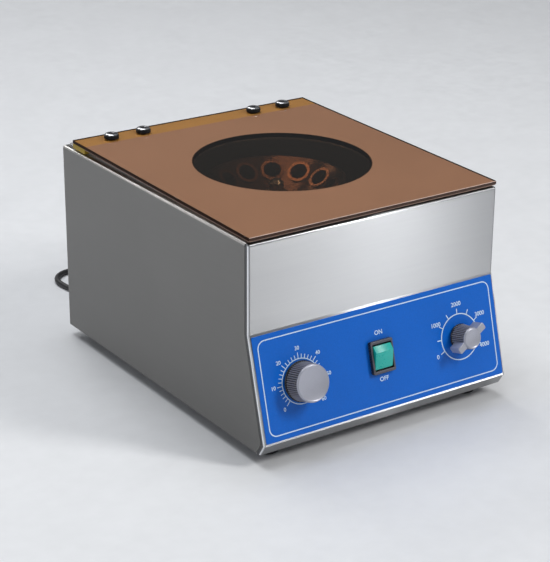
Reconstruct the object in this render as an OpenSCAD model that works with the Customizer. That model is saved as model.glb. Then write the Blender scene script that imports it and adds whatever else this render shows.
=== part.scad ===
// Benchtop angle-rotor centrifuge for butterfat tubes.
// Folded sheet housing, hinged acrylic lid, timer, rocker switch and speed control.
// X runs to the right, Y to the back, Z up. The origin is on the table, at the middle
// of the footprint without the lead.

/* [Housing] */
// Width over the side panels
body_w = 280; // [240:1:340]
// Depth from the upright front face to the back
body_d = 337; // [320:1:410]
// Height of the housing without its feet
body_h = 194; // [188:1:240]
// Thickness of the stainless sheet
sheet_t = 1.2; // [1:0.1:1.5]
// Outer radius of the folds
bend_r = 2.6; // [2.2:0.1:3.5]
// Height of the fold between the upright face and the slanted panel
break_h = 108.7; // [104:0.1:120]
// How far the foot of the slanted panel stands forward
panel_reach = 26.3; // [20:0.1:32]
// Height of the foot of the slanted panel
panel_foot = 10.5; // [9:0.1:13]
// How far the lip under the panel runs back
lip_back = 6.7; // [5:0.1:9]
// How far the front sheet wraps round each side
front_wrap = 4.2; // [3.8:0.1:6]
// Seam between the front sheet and the side panels
seam = 0.5; // [0.3:0.1:0.8]
// Width of the top flange of the side panels
flange_w = 12; // [10:0.5:14]
// Width of the rear flange of the side panels
rear_flange_w = 16; // [14:0.5:20]
// Thickness of the base plate
base_t = 1.5; // [1.2:0.1:2]
// Distance of the deck's edge from the side of the housing
deck_inset = 7.5; // [6:0.5:10]

/* [Feet] */
// Height of the rubber feet
foot_h = 12; // [8:0.5:18]
// Diameter of the feet where they meet the base
foot_d = 28; // [24:1:32]
// Distance of the feet from the sides of the housing
foot_in = 25; // [22:1:32]
// Distance of the front feet behind the upright face
foot_front = 8; // [6:1:20]
// Distance of the rear feet from the back
foot_rear = 26; // [22:1:34]

/* [Lid] */
// Gap from the edge of the lid to the side of the housing
lid_side = 1; // [0.5:0.1:2]
// How far the lid's front edge stands past the front face
lid_over = 0.7; // [0:0.1:2]
// Distance of the lid's rear edge from the back
lid_rear = 20.6; // [18:0.1:26]
// Thickness of the acrylic plate
lid_t = 3.4; // [3:0.1:5]
// Thickness of the brown backing
backing_t = 0.6; // [0.5:0.1:0.8]
// Height of the lid's underside over the housing at the front
lid_gap_front = 2.2; // [2:0.1:3]
// Height of the lid's underside over the housing at the rear
lid_gap_rear = 6.3; // [6:0.1:7]
// Diameter of the round window
window_d = 172; // [150:1:190]
// Width of the bare strip along the rear edge
strip_w = 24; // [22:0.5:28]

/* [Hinges] */
// Distance of each hinge's middle from the middle of the lid
hinge_x = 84.5; // [60:0.5:95]
// Length of each hinge
hinge_l = 50; // [44:1:56]
// Distance between the two screws of a leaf
hinge_pitch = 36.5; // [30:0.5:38]
// Diameter of the hinge knuckles
knuckle_d = 6; // [5:0.1:6]
// Diameter of the hinge pin
pin_d = 3; // [2.5:0.1:3]
// Thickness of the hinge leaves
leaf_t = 1.2; // [1:0.1:1.4]
// Diameter of the big screw heads on the lid
lid_screw_head = 13.6; // [11:0.1:14]
// Height of the screw heads on the lid
lid_screw_h = 4.4; // [3:0.1:5]
// Shank diameter of the lid screws
lid_screw_d = 5; // [4:0.5:5]

/* [Chamber] */
// Distance of the chamber's axis behind the front face
chamber_y = 162; // [160:1:166]
// Radius of the mouth and the bowl inside
bowl_r = 120; // [118:0.5:121]
// Thickness of the bowl's sheet
bowl_t = 1.2; // [1:0.1:1.5]
// Depth of the bowl under the deck
bowl_h = 96; // [94:0.5:100]
// Radius of the raised middle of the bowl's floor
well_r = 55; // [54:0.5:60]
// Height of the raised middle
well_h = 30; // [28:0.5:32]

/* [Rotor] */
// Number of tube places
tube_count = 12; // [8:2:12]
// Lean of the tubes from upright, in degrees
tube_tilt = 40; // [35:1:40]
// Radius of the circle that the tube mouths lie on
mouth_r = 52; // [50:0.5:53]
// Radius of the rotor's inner rim
rim_r = 65; // [64:0.5:67]
// Depth of the rim under the deck
rim_drop = 10; // [8:0.5:12]
// Outer diameter of a tube sleeve
sleeve_d = 20; // [16:0.1:20.4]
// Wall of a tube sleeve
sleeve_wall = 1.3; // [1:0.1:1.5]
// Depth of a tube sleeve under its collar
sleeve_l = 80; // [70:1:82]
// Thickness of the dished plate that holds the sleeves
dish_t = 5; // [4:0.5:6]
// Radius of the rotor's hub
hub_r = 16; // [14:0.5:18]

/* [Motor] */
// Outer radius of the motor's shell
motor_r = 47.5; // [44:0.5:48]
// Length of the motor's shell
motor_l = 74; // [72:1:76]
// Radius of the shaft
shaft_r = 5; // [4.5:0.1:5.5]
// Radius of the circle of the rubber mounts
isolator_pcd_r = 72; // [70:1:74]
// Height of a rubber mount
isolator_h = 14; // [12:0.5:16]

/* [Controls] */
// Gap from the edges of the panel to the blue plate at the sides
plate_side = 3; // [2:0.1:5]
// Gap over the blue plate
plate_top = 2.2; // [1.5:0.1:4]
// Gap under the blue plate
plate_foot = 1.9; // [1.5:0.1:4]
// Thickness of the blue plate
plate_t = 0.6; // [0.4:0.1:1]
// Place of the timer across the panel
timer_x = -91.7; // [-98:0.1:-80]
// Place of the timer down the panel
timer_down = 52.1; // [46:0.1:56]
// Place of the switch across the panel
switch_x = -2.6; // [-10:0.1:10]
// Place of the switch down the panel
switch_down = 49.9; // [46:0.1:54]
// Place of the speed control across the panel
speed_x = 91; // [80:0.1:98]
// Place of the speed control down the panel
speed_down = 53.1; // [46:0.1:56]
// Height of both knobs over the panel
knob_h = 20.5; // [18:0.1:22]
// Radius of the timer knob at its foot
timer_knob_r = 19; // [17:0.1:19.5]
// Radius of the timer knob's front
timer_cap_r = 17.4; // [16:0.1:18]
// Radius of the speed knob at its foot
speed_knob_r = 12.6; // [11.5:0.1:14]
// Radius of the speed knob's front
speed_cap_r = 10.4; // [9.5:0.1:11]
// Width of the switch's bezel
bezel_w = 25.5; // [25:0.1:27]
// Height of the switch's bezel
bezel_h = 31; // [30:0.1:33]
// Thickness of the switch's bezel
bezel_t = 4.5; // [4:0.1:5]

/* [Lead] */
// Diameter of the mains lead
lead_d = 6; // [5.5:0.1:6]
// Number of turns in each of the coil's two layers
coil_turns = 3; // [2:1:4]
// Distance from turn to turn
coil_pitch = 6.5; // [6.5:0.1:7]
// Smallest radius of the coil
coil_in = 24.3; // [24:0.1:30]
// Diameter of the fuse holder's cap
fuse_cap_d = 15; // [13:0.5:16]
// How far the fuse holder's cap stands out
fuse_cap_h = 10; // [8:0.5:12]

/* [Hidden] */
$fn = 96;

// Small clearances: between flat neighbours, round a screw, and of a running fit
air = 0.3;
screw_air = 0.15;
run_air = 0.05;
// Shank radii of the M3, M4, M5, M6 and M8 screws and studs
m3_r = 1.5;
m4_r = 2;
m5_r = 2.5;
m6_r = 3;
m8_r = 4;
// Steps past a face, so that cuts go right through
past = 1;

// Half sizes and the panel's slants
half_w = body_w / 2;
panel_tilt = atan2(panel_reach, break_h - panel_foot);
panel_l = norm([panel_reach, break_h - panel_foot]);
lip_tilt = atan2(lip_back, panel_foot);
wrap_end = front_wrap + seam;
deck_top = body_h + sheet_t;

// Lid
lid_w = body_w - 2 * lid_side;
lid_l = body_d - lid_rear + lid_over;
lid_full_t = lid_t + backing_t;
lid_slope = atan2(lid_gap_rear - lid_gap_front, lid_l);
lid_back_y = body_d - lid_rear;
hinge_y = lid_back_y + knuckle_d / 2 + 0.5;
hinge_z = deck_top + knuckle_d / 2 + air;
hinge_leaf_deep = 14;
hinge_screw_y = hinge_y + 8.5;
// The lid's screws sit on this line, from its rear edge
lid_screw_in = 14.4;
rail_h = lid_gap_rear - sheet_t - 2 * air + backing_t - 0.1;

// Chamber, rotor and motor heights, all from the deck down
floor_z = body_h - bowl_h;
well_z = floor_z + well_h;
rim_z = body_h - rim_drop;
mouth_z = rim_z - (rim_r - mouth_r) * tan(tube_tilt);
dish_floor_r = 34;
dish_floor_z = mouth_z - (mouth_r - dish_floor_r) * tan(tube_tilt);
hub_top_z = dish_floor_z + 8;
hub_foot_z = well_z + 12;
sleeve_r = sleeve_d / 2;
sleeve_hole_r = sleeve_r + screw_air;
collar_r = sleeve_r + 1.6;
collar_t = 1.6;
skirt_in = sleeve_r + 1.2;
skirt_out = skirt_in + 2.8;
motor_top = floor_z + 10;
motor_foot = motor_top - motor_l;
motor_wall = 2;
plate_z = floor_z - 18;
motor_plate_t = 3;
bell_t = 4;
bearing_r = 15;
bearing_h = 9;
bearing_cup_r = 18;
seal_r = 14;
core_z = motor_foot + 18;
core_h = 40;
winding_h = 5;
armature_r = 27.5;
brush_z = motor_foot + 7;
tie_bolt_r = motor_r - 5;
commutator_r = 13;

// Switch
rocker_w = 20.2;
rocker_half_l = 11.2;
rocker_side_air = 0.3;
well_w = rocker_w + 2 * rocker_side_air;
well_l = 2 * rocker_half_l + 2.4;
switch_wall = 0.7;
switch_body_w = well_w + 2 * switch_wall;
switch_body_l = well_l + 2 * 1.7;
switch_deep = 22;

// Knobs and spindles
spindle_r = 3;
bush_r = 5;
knob_gap = 1;
knob_foot = plate_t + knob_gap;
knob_cap_edge = 1.2;
timer_deep = 34;
timer_case_r = 24;
speed_deep = 20;
speed_case_r = 12;
speed_bush_r = 3.6;

// Where the object starts and ends in Y, which sets the origin
front_reach = timer_down * sin(panel_tilt) + knob_h * cos(panel_tilt)
    + (timer_cap_r - knob_cap_edge) * sin(panel_tilt);
origin_y = (body_d + fuse_cap_h - front_reach) / 2;

// Rear panel
gland_x = -70;
gland_z = 26;
fuse_x = -20;
fuse_z = 30;
gland_l = 35;
lead_r = lead_d / 2;

// Lead on the table, measured from the back of the housing and from the table
plug_h = 21;
exit_h = foot_h + gland_z;
lie_h = lead_r + 0.1;
tie_t = 0.8;
tie_w = 8;
coil_center = [26, 81];
coil_out = coil_in + coil_turns * coil_pitch;
coil_z = tie_t + 0.1 + lead_r;
coil_layer = 6.5;
coil_sides = 6;
coil_rings = 24;
coil_start = [coil_center[0], coil_center[1] + coil_out, coil_z];
coil_end = coil_start + [0, 0, coil_layer];
// Route of the lead from the strain relief to the coil, chosen by hand
lead_points = [
    [gland_x, gland_l, exit_h], [gland_x, gland_l + 8, exit_h], [-70.5, 52, exit_h * 0.93],
    [-72, 62, exit_h * 0.74], [-74.5, 72, exit_h * 0.47], [-78, 82, exit_h * 0.25],
    [-81.5, 93, exit_h * 0.12], [-84.5, 105, lie_h], [-86, 117, lie_h], [-85.5, 128, lie_h],
    [-81.5, 138, lie_h], [-74, 145.5, lie_h], [-64, 149, lie_h], [-53, 149, lie_h],
    [-42, 146.5, lie_h], [-31, 142, lie_h], [-20, 136.5, lie_h], [-8, 130.5, 3.4],
    [4, 126, 3.7], [15, 124.4, coil_z], coil_start
];
// Route from the coil to the plug
tail_points = [
    coil_end, [37, 124.4, 10.2], [48, 123, 8.6], [59, 120.6, 5.6], [70, 117.8, 3.4],
    [81, 115.4, 3.6], [91, 114, 6], [100, 113.4, 9], [107, 113.4, plug_h / 2],
    [111, 113.4, plug_h / 2]
];
plug_place = tail_points[len(tail_points) - 1];
lead_sides = 8;
plug_l = 40;
plug_w = 34;
pin_l = 17;

// Moves a piece from the housing's own measure to the object's frame
module in_frame() {
    translate([0, -origin_y, foot_h]) children();
}

// Places a piece on the slanted panel: X right, Y up the panel, Z out of it
module on_panel(x, down, lift = 0) {
    translate([0, 0, break_h])
        rotate([-panel_tilt, 0, 0])
            translate([x, -lift, -down])
                rotate([90, 0, 0])
                    children();
}

// Places a piece in the lid's own measure: rear edge at y 0, underside at z 0
module on_lid() {
    translate([0, lid_back_y, body_h + lid_gap_rear]) rotate([lid_slope, 0, 0]) children();
}

// Places a piece measured from the back of the housing and from the table
module on_table() {
    translate([0, body_d - origin_y, 0]) children();
}

module at_chamber(z = 0) {
    translate([0, chamber_y, z]) children();
}

// Repeats a piece round the chamber's axis
module around(count, start = 0) {
    for (i = [0 : count - 1]) rotate([0, 0, start + i * 360 / count]) children();
}

module both_sides() {
    children();
    mirror([1, 0, 0]) children();
}

// Quarter of a folded edge, in the corner where x is low and y is high. The folds stop short
// of the corners, where folded sheet is notched.
module fold_2d() {
    intersection() {
        difference() {
            circle(bend_r);
            circle(bend_r - sheet_t);
        }
        translate([-bend_r, 0]) square(bend_r);
    }
}

module ring(outer, inner, h) {
    difference() {
        cylinder(h = h, r = outer);
        translate([0, 0, -past]) cylinder(h = h + 2 * past, r = inner);
    }
}

module pan_screw(head_r, head_h, shank_r, shank_l) {
    cylinder(h = head_h, r1 = head_r, r2 = head_r * 0.72);
    translate([0, 0, -shank_l]) cylinder(h = shank_l, r = shank_r);
}

module hex_nut(across, h, hole_r) {
    difference() {
        cylinder(h = h, r = across / 2 / cos(30), $fn = 6);
        translate([0, 0, -past]) cylinder(h = h + 2 * past, r = hole_r);
    }
}

// Outline of a side panel, in depth and height
function side_outline() = let (
    corner = wrap_end / cos((lip_tilt + panel_tilt) / 2),
    aim = (lip_tilt - panel_tilt) / 2
) [
    [-panel_reach + lip_back + wrap_end / cos(lip_tilt), 0],
    [-panel_reach + corner * cos(aim), panel_foot + corner * sin(aim)],
    [wrap_end, break_h - wrap_end * tan(panel_tilt / 2)],
    [wrap_end, body_h - bend_r],
    [body_d - bend_r, body_h - bend_r],
    [body_d - bend_r, 0]
];

base_screw_x = half_w - 9;
base_screw_y = [36, body_d / 2, body_d - 56];
rear_screw_x = half_w - 9;
rear_screw_z = [24, body_h / 2, body_h - 20];

module side_panel() {
    fold_x = -half_w + bend_r;
    fold_y = body_d - bend_r;
    fold_z = body_h - bend_r;
    difference() {
        union() {
            translate([-half_w, 0, 0])
                rotate([90, 0, 90]) linear_extrude(sheet_t) polygon(side_outline());
            translate([fold_x, fold_y, fold_z])
                rotate([90, 0, 0]) linear_extrude(fold_y - wrap_end) fold_2d();
            translate([fold_x, fold_y, 0]) linear_extrude(fold_z) fold_2d();
            translate([fold_x, fold_y, fold_z]) mirror([0, 1, 0])
                rotate([90, 0, 90]) linear_extrude(flange_w - bend_r) fold_2d();
            translate([fold_x, wrap_end, body_h - sheet_t])
                cube([flange_w - bend_r, fold_y - wrap_end, sheet_t]);
            translate([fold_x, body_d - sheet_t, 0])
                cube([rear_flange_w - bend_r, sheet_t, fold_z]);
            translate([-half_w + sheet_t / 2, 12, base_t])
                cube([rear_flange_w, body_d - 24, sheet_t]);
        }
        for (z = rear_screw_z)
            translate([-rear_screw_x, body_d + past, z])
                rotate([90, 0, 0]) cylinder(h = 4, r = 1.7);
        for (y = base_screw_y)
            translate([-base_screw_x, y, 0]) cylinder(h = 6, r = 1.7);
    }
}

module left_side_panel() {
    color([0.43, 0.43, 0.42]) in_frame() side_panel();
}

module right_side_panel() {
    color([0.52, 0.53, 0.54]) in_frame() mirror([1, 0, 0]) side_panel();
}

// Cross-section of the front sheet, a face with rounded corners and short returns:
// X across and depth behind the face
function corner_arc(x, r, from) = [
    for (i = [0 : 6]) [x + r * cos(from - i * 15), bend_r + r * sin(from - i * 15)]
];
function corner_arc_back(x, r, from) = [
    for (i = [0 : 6]) [x + r * cos(from + i * 15), bend_r + r * sin(from + i * 15)]
];
function channel_outline() = let (fold_x = half_w - bend_r, in_r = bend_r - sheet_t) concat(
    [[half_w, front_wrap]],
    corner_arc(fold_x, bend_r, 0),
    corner_arc(-fold_x, bend_r, -90),
    [[-half_w, front_wrap], [-half_w + sheet_t, front_wrap]],
    corner_arc_back(-fold_x, in_r, 180),
    corner_arc_back(fold_x, in_r, 270),
    [[half_w - sheet_t, front_wrap]]
);

// Where a point of that cross-section passes each of the sheet's four stations, from the top
// fold over the break and the foot of the panel to the end of the lip
function front_station(p, k) = let (
    corner = p[1] / cos((lip_tilt + panel_tilt) / 2),
    aim = (lip_tilt - panel_tilt) / 2
) k == 0 ? [p[0], p[1], body_h - bend_r]
    : k == 1 ? [p[0], p[1], break_h - p[1] * tan(panel_tilt / 2)]
    : k == 2 ? [p[0], -panel_reach + corner * cos(aim), panel_foot + corner * sin(aim)]
    : [p[0], -panel_reach + lip_back + p[1] / cos(lip_tilt), 0];

module front_sheet() {
    outline = channel_outline();
    n = len(outline);
    polyhedron(
        [for (k = [0 : 3], p = outline) front_station(p, k)],
        concat(
            [for (i = [0 : n / 2 - 2]) [i, i + 1, n - 2 - i, n - 1 - i]],
            [for (i = [0 : n / 2 - 2]) [4 * n - 1 - i, 4 * n - 2 - i, 3 * n + 1 + i, 3 * n + i]],
            [for (k = [0 : 2], i = [0 : n - 1]) let (m = (i + 1) % n)
                [k * n + i, k * n + n + i, k * n + n + m, k * n + m]]
        )
    );
}

module front_panel() {
    fold_z = body_h - bend_r;
    flange_half = half_w - flange_w - 0.4;
    lip_inner = -panel_reach + lip_back + sheet_t / cos(lip_tilt);
    color([0.72, 0.73, 0.75]) in_frame() difference() {
        union() {
            front_sheet();
            translate([-half_w + bend_r, bend_r, fold_z])
                rotate([90, 0, 90]) linear_extrude(body_w - 2 * bend_r) fold_2d();
            both_sides() translate([-half_w + bend_r, front_wrap, fold_z])
                rotate([90, 0, 0]) linear_extrude(front_wrap - bend_r) fold_2d();
            translate([-half_w + bend_r, bend_r, body_h - sheet_t])
                cube([body_w - 2 * bend_r, front_wrap - bend_r, sheet_t]);
            translate([-flange_half, bend_r, body_h - sheet_t])
                cube([2 * flange_half, flange_w - bend_r, sheet_t]);
            translate([-flange_half, lip_inner - 1.9, base_t])
                cube([2 * flange_half, 16, sheet_t]);
        }
        on_panel(timer_x, timer_down, -4) cylinder(h = 8, r = bush_r + screw_air);
        on_panel(speed_x, speed_down, -4) cylinder(h = 8, r = speed_bush_r + screw_air);
        on_panel(switch_x, switch_down, -4)
            translate([-switch_body_w / 2 - 0.2, -switch_body_l / 2 - 0.2, 0])
                cube([switch_body_w + 0.4, switch_body_l + 0.4, 8]);
    }
}

module vent_row(count, pitch, l, w, deep) {
    for (i = [0 : count - 1])
        translate([(i - (count - 1) / 2) * pitch - w / 2, -deep / 2, -l / 2]) cube([w, deep, l]);
}

module rear_panel() {
    wide = half_w - bend_r - 0.2;
    narrow = half_w - flange_w - 0.4;
    sheet_y = body_d - 2 * sheet_t;
    vent_z = body_h - 62;
    color([0.62, 0.63, 0.65]) in_frame() difference() {
        union() {
            translate([-wide, sheet_y, base_t + 0.2])
                cube([2 * wide, sheet_t, body_h - bend_r - 0.5 - base_t - 0.2]);
            translate([-narrow, sheet_y, base_t + 0.2])
                cube([2 * narrow, sheet_t, body_h - base_t - 0.2]);
            translate([-narrow, sheet_y - 11, body_h - sheet_t])
                cube([2 * narrow, 11 + sheet_t / 2, sheet_t]);
        }
        for (side = [-1, 1]) translate([side * half_w * 0.42, sheet_y + sheet_t / 2, vent_z])
            vent_row(9, 9, 44, 3.6, 6);
        both_sides() for (z = rear_screw_z)
            translate([-rear_screw_x, body_d + past, z])
                rotate([90, 0, 0]) cylinder(h = 6, r = m3_r + screw_air);
        translate([gland_x, body_d, gland_z]) rotate([90, 0, 0]) cylinder(h = 6, r = 6.2);
        translate([fuse_x, body_d, fuse_z]) rotate([90, 0, 0]) cylinder(h = 6, r = 6.2);
        hinge_screw_holes();
    }
}

module foot_places() {
    both_sides() for (y = [foot_front, body_d - foot_rear])
        translate([-half_w + foot_in, y, 0]) children();
}

module pillar_places() {
    at_chamber() around(3, 90) translate([isolator_pcd_r, 0, 0]) children();
}

board_x = 68;
board_y = 58;
board_w = 100;
board_l = 58;
board_z = base_t + 8;

module board_corners() {
    for (sx = [-1, 1], sy = [-1, 1])
        translate([board_x + sx * (board_w / 2 - 5), board_y + sy * (board_l / 2 - 5), 0])
            children();
}

module base_plate() {
    wide = half_w - sheet_t - 0.3;
    front = -panel_reach + lip_back + sheet_t / cos(lip_tilt) + 0.5;
    color([0.55, 0.56, 0.58]) in_frame() difference() {
        translate([-wide, front, 0]) cube([2 * wide, body_d - bend_r - 0.1 - front, base_t]);
        foot_places() translate([0, 0, -past]) cylinder(h = 6, r = m5_r + screw_air);
        pillar_places() translate([0, 0, -past]) cylinder(h = 6, r = m5_r + screw_air);
        board_corners() translate([0, 0, -past]) cylinder(h = 6, r = m3_r + screw_air);
        both_sides() for (y = base_screw_y)
            translate([-base_screw_x, y, -past]) cylinder(h = 6, r = m3_r + screw_air);
        for (i = [-4 : 4]) translate([i * 9 - 2, chamber_y - 26, -past]) cube([4, 52, 6]);
    }
}

module top_deck() {
    color([0.68, 0.69, 0.70]) in_frame() difference() {
        translate([-half_w + deck_inset, front_wrap + 0.6, body_h])
            cube([body_w - 2 * deck_inset, body_d - 2 - front_wrap - 0.6, sheet_t]);
        at_chamber(body_h - past) cylinder(h = 4, r = bowl_r);
        hinge_screw_holes();
    }
}

module feet() {
    color([0.07, 0.07, 0.07]) in_frame() foot_places() difference() {
        union() {
            translate([0, 0, -foot_h]) cylinder(h = foot_h - 2, r1 = foot_d / 2 - 2, r2 = foot_d / 2);
            translate([0, 0, -2]) cylinder(h = 2, r = foot_d / 2);
        }
        translate([0, 0, -foot_h - past]) cylinder(h = foot_h + 2 * past, r = m5_r + screw_air);
        translate([0, 0, -foot_h - past]) cylinder(h = 5.6 + past, r = 5.8);
    }
}

module foot_screws() {
    color([0.7, 0.7, 0.72]) in_frame() foot_places() {
        translate([0, 0, -foot_h + 5.5]) mirror([0, 0, 1]) pan_screw(5, 3, m5_r, foot_h + 1.5);
        translate([0, 0, base_t]) hex_nut(8, 4, m5_r + screw_air);
    }
}

module base_screws() {
    color([0.7, 0.7, 0.72]) in_frame() {
        both_sides() for (y = base_screw_y)
            translate([-base_screw_x, y, 0]) mirror([0, 0, 1]) pan_screw(3.2, 2, m3_r, 5);
        pillar_places() mirror([0, 0, 1]) pan_screw(4.6, 3, m5_r, 12);
        board_corners() mirror([0, 0, 1]) pan_screw(3, 2, m3_r, 6);
    }
}

module rear_screws() {
    color([0.78, 0.78, 0.8]) in_frame() both_sides() for (z = rear_screw_z)
        translate([-rear_screw_x, body_d, z]) rotate([-90, 0, 0]) pan_screw(3.4, 2.2, m3_r, 6);
}

module control_plate() {
    w = body_w - 2 * plate_side;
    l = panel_l - plate_top - plate_foot;
    r = 1.2;
    color([0.16, 0.36, 0.78]) in_frame() difference() {
        on_panel(0, plate_top + l) linear_extrude(plate_t) {
            translate([-w / 2 + r, 0]) square([w - 2 * r, l]);
            translate([-w / 2, r]) square([w, l - 2 * r]);
            for (x = [-1, 1], y = [r, l - r]) translate([x * (w / 2 - r), y]) circle(r);
        }
        on_panel(timer_x, timer_down, -4) cylinder(h = 8, r = bush_r + screw_air);
        on_panel(speed_x, speed_down, -4) cylinder(h = 8, r = speed_bush_r + screw_air);
        on_panel(switch_x, switch_down, -4)
            translate([-switch_body_w / 2 - 0.2, -switch_body_l / 2 - 0.2, 0])
                cube([switch_body_w + 0.4, switch_body_l + 0.4, 8]);
    }
}

// Rubber edge trim that the lid rests on
module mouth_trim() {
    color([0.08, 0.08, 0.08]) in_frame() at_chamber(body_h) difference() {
        union() {
            translate([0, 0, sheet_t]) cylinder(h = 1.3, r = bowl_r + 3);
            translate([0, 0, -4]) cylinder(h = 4 + sheet_t, r = bowl_r - 0.2);
        }
        translate([0, 0, -5]) cylinder(h = 10, r = bowl_r - 1.6);
    }
}

module chamber_bowl() {
    out_r = bowl_r + bowl_t;
    well_top = well_z + bowl_t;
    color([0.6, 0.6, 0.62]) in_frame() at_chamber() rotate_extrude() polygon([
        [bowl_r, body_h], [bowl_r + 6, body_h], [bowl_r + 6, body_h - bowl_t],
        [out_r, body_h - bowl_t], [out_r, floor_z - bowl_t], [well_r, floor_z - bowl_t],
        [well_r, well_z], [seal_r, well_z], [seal_r, well_top], [well_r + bowl_t, well_top],
        [well_r + bowl_t, floor_z], [bowl_r, floor_z]
    ]);
}

module shaft_seal() {
    color([0.1, 0.1, 0.1]) in_frame() at_chamber() rotate_extrude() polygon([
        [shaft_r + 0.5, well_z - 2], [seal_r - 0.2, well_z - 2], [seal_r - 0.2, well_z + bowl_t],
        [seal_r + 3, well_z + bowl_t], [seal_r + 2.4, well_z + bowl_t + 2],
        [shaft_r + 2.5, well_z + bowl_t + 4], [shaft_r + 0.5, well_z + bowl_t + 4]
    ]);
}

isolator_z = plate_z - isolator_h;

module pillars() {
    color([0.66, 0.66, 0.68]) in_frame() pillar_places() difference() {
        translate([0, 0, base_t]) cylinder(h = isolator_z - base_t, r = 6.5);
        cylinder(h = 16, r = m5_r + screw_air);
        translate([0, 0, isolator_z - 14]) cylinder(h = 20, r = m6_r + screw_air);
    }
}

module rubber_isolators() {
    color([0.09, 0.09, 0.09]) in_frame() pillar_places() translate([0, 0, isolator_z])
        rotate_extrude() polygon([
            [m6_r + screw_air, 0], [10, 0], [10, isolator_h * 0.25], [8.2, isolator_h / 2],
            [10, isolator_h * 0.75], [10, isolator_h], [m6_r + screw_air, isolator_h]
        ]);
}

module isolator_studs() {
    color([0.74, 0.74, 0.76]) in_frame() pillar_places() {
        translate([0, 0, isolator_z - 13]) cylinder(h = 13 + isolator_h + 10, r = m6_r);
        translate([0, 0, plate_z + motor_plate_t]) hex_nut(10, 5, m6_r + screw_air);
    }
}

motor_screw_r = 55;

module motor_screw_places() {
    at_chamber() around(3, 30) translate([motor_screw_r, 0, 0]) children();
}

module motor_plate() {
    color([0.58, 0.58, 0.6]) in_frame() difference() {
        at_chamber(plate_z) ring(isolator_pcd_r + 13, motor_r + 0.5, motor_plate_t);
        pillar_places() translate([0, 0, plate_z - past]) cylinder(h = 6, r = m6_r + screw_air);
        motor_screw_places() translate([0, 0, plate_z - past]) cylinder(h = 6, r = m4_r + screw_air);
    }
}

module motor_shell() {
    color([0.3, 0.32, 0.35]) in_frame() difference() {
        at_chamber() {
            translate([0, 0, motor_foot]) ring(motor_r, motor_r - motor_wall, motor_l);
            translate([0, 0, plate_z + motor_plate_t]) ring(motor_screw_r + 5, motor_r - 1, 3);
        }
        motor_screw_places() translate([0, 0, plate_z]) cylinder(h = 10, r = m4_r + screw_air);
        at_chamber(brush_z) both_sides()
            rotate([0, 90, 0]) cylinder(h = motor_r + 10, r = 5 + screw_air);
    }
}

module end_bell() {
    difference() {
        union() {
            cylinder(h = bell_t, r = motor_r);
            translate([0, 0, bell_t])
                cylinder(h = bearing_h + 1, r1 = bearing_cup_r + 2, r2 = bearing_cup_r);
        }
        translate([0, 0, -past]) cylinder(h = 30, r = shaft_r + 1.5);
        translate([0, 0, bell_t - 0.5]) cylinder(h = bearing_h, r = bearing_r + run_air);
        around(6, 30) translate([32, 0, -past]) cylinder(h = 8, r = 6);
        around(2, 90) translate([tie_bolt_r, 0, -past]) cylinder(h = 8, r = m4_r + screw_air);
    }
}

module motor_end_bells() {
    color([0.62, 0.62, 0.63]) in_frame() at_chamber() {
        translate([0, 0, motor_top]) end_bell();
        translate([0, 0, motor_foot]) mirror([0, 0, 1]) end_bell();
    }
}

module tie_bolts() {
    bolt_l = motor_l + 2 * bell_t;
    color([0.75, 0.75, 0.77]) in_frame() {
        at_chamber() around(2, 90) translate([tie_bolt_r, 0, motor_foot - bell_t]) {
            translate([0, 0, -3]) cylinder(h = 3, r = 3.6, $fn = 6);
            cylinder(h = bolt_l + 4, r = m4_r);
            translate([0, 0, bolt_l]) hex_nut(7, 3, m4_r + screw_air);
        }
        motor_screw_places() {
            translate([0, 0, plate_z + motor_plate_t + 3]) pan_screw(3.8, 2.6, m4_r, 11);
            translate([0, 0, plate_z - 3.2]) hex_nut(7, 3.2, m4_r + screw_air);
        }
    }
}

module stator_core() {
    color([0.45, 0.45, 0.47]) in_frame() at_chamber(core_z) difference() {
        ring(motor_r - motor_wall - 0.1, armature_r + 1, core_h);
        around(2, 90) translate([tie_bolt_r, 0, -past]) cylinder(h = core_h + 2, r = 2.6);
        around(2) translate([armature_r + 8, 0, -past]) cylinder(h = core_h + 2, r = 4);
    }
}

module field_coils() {
    color([0.72, 0.36, 0.16]) in_frame() at_chamber() {
        translate([0, 0, core_z + core_h]) ring(armature_r + 11, armature_r + 2, winding_h);
        translate([0, 0, core_z - winding_h]) ring(armature_r + 11, armature_r + 2, winding_h);
    }
}

module bearing() {
    ring(bearing_r, bearing_r - 2.6, bearing_h);
    ring(shaft_r + 2.4, shaft_r + run_air, bearing_h);
    around(8) translate([(bearing_r + shaft_r - 0.2) / 2, 0, bearing_h / 2]) sphere(2.35);
}

module ball_bearings() {
    color([0.8, 0.8, 0.82]) in_frame() at_chamber() {
        translate([0, 0, motor_top + bell_t - 0.5]) bearing();
        translate([0, 0, motor_foot - bell_t + 0.5 - bearing_h]) bearing();
    }
}

module brush_holders() {
    color([0.15, 0.1, 0.08]) in_frame() at_chamber(brush_z) both_sides() rotate([0, 90, 0]) {
        translate([0, 0, commutator_r + 3]) ring(5, 3, motor_r + 5 - commutator_r - 3);
        translate([0, 0, motor_r + 5]) cylinder(h = 3, r = 6.5);
    }
}

module carbon_brushes() {
    color([0.2, 0.2, 0.2]) in_frame() at_chamber(brush_z) both_sides() rotate([0, 90, 0]) {
        translate([0, 0, commutator_r + 0.1]) cylinder(h = 12, r = 2.8);
        translate([0, 0, commutator_r + 12.2]) cylinder(h = motor_r - commutator_r - 7.4, r = 1.8);
    }
}

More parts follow.
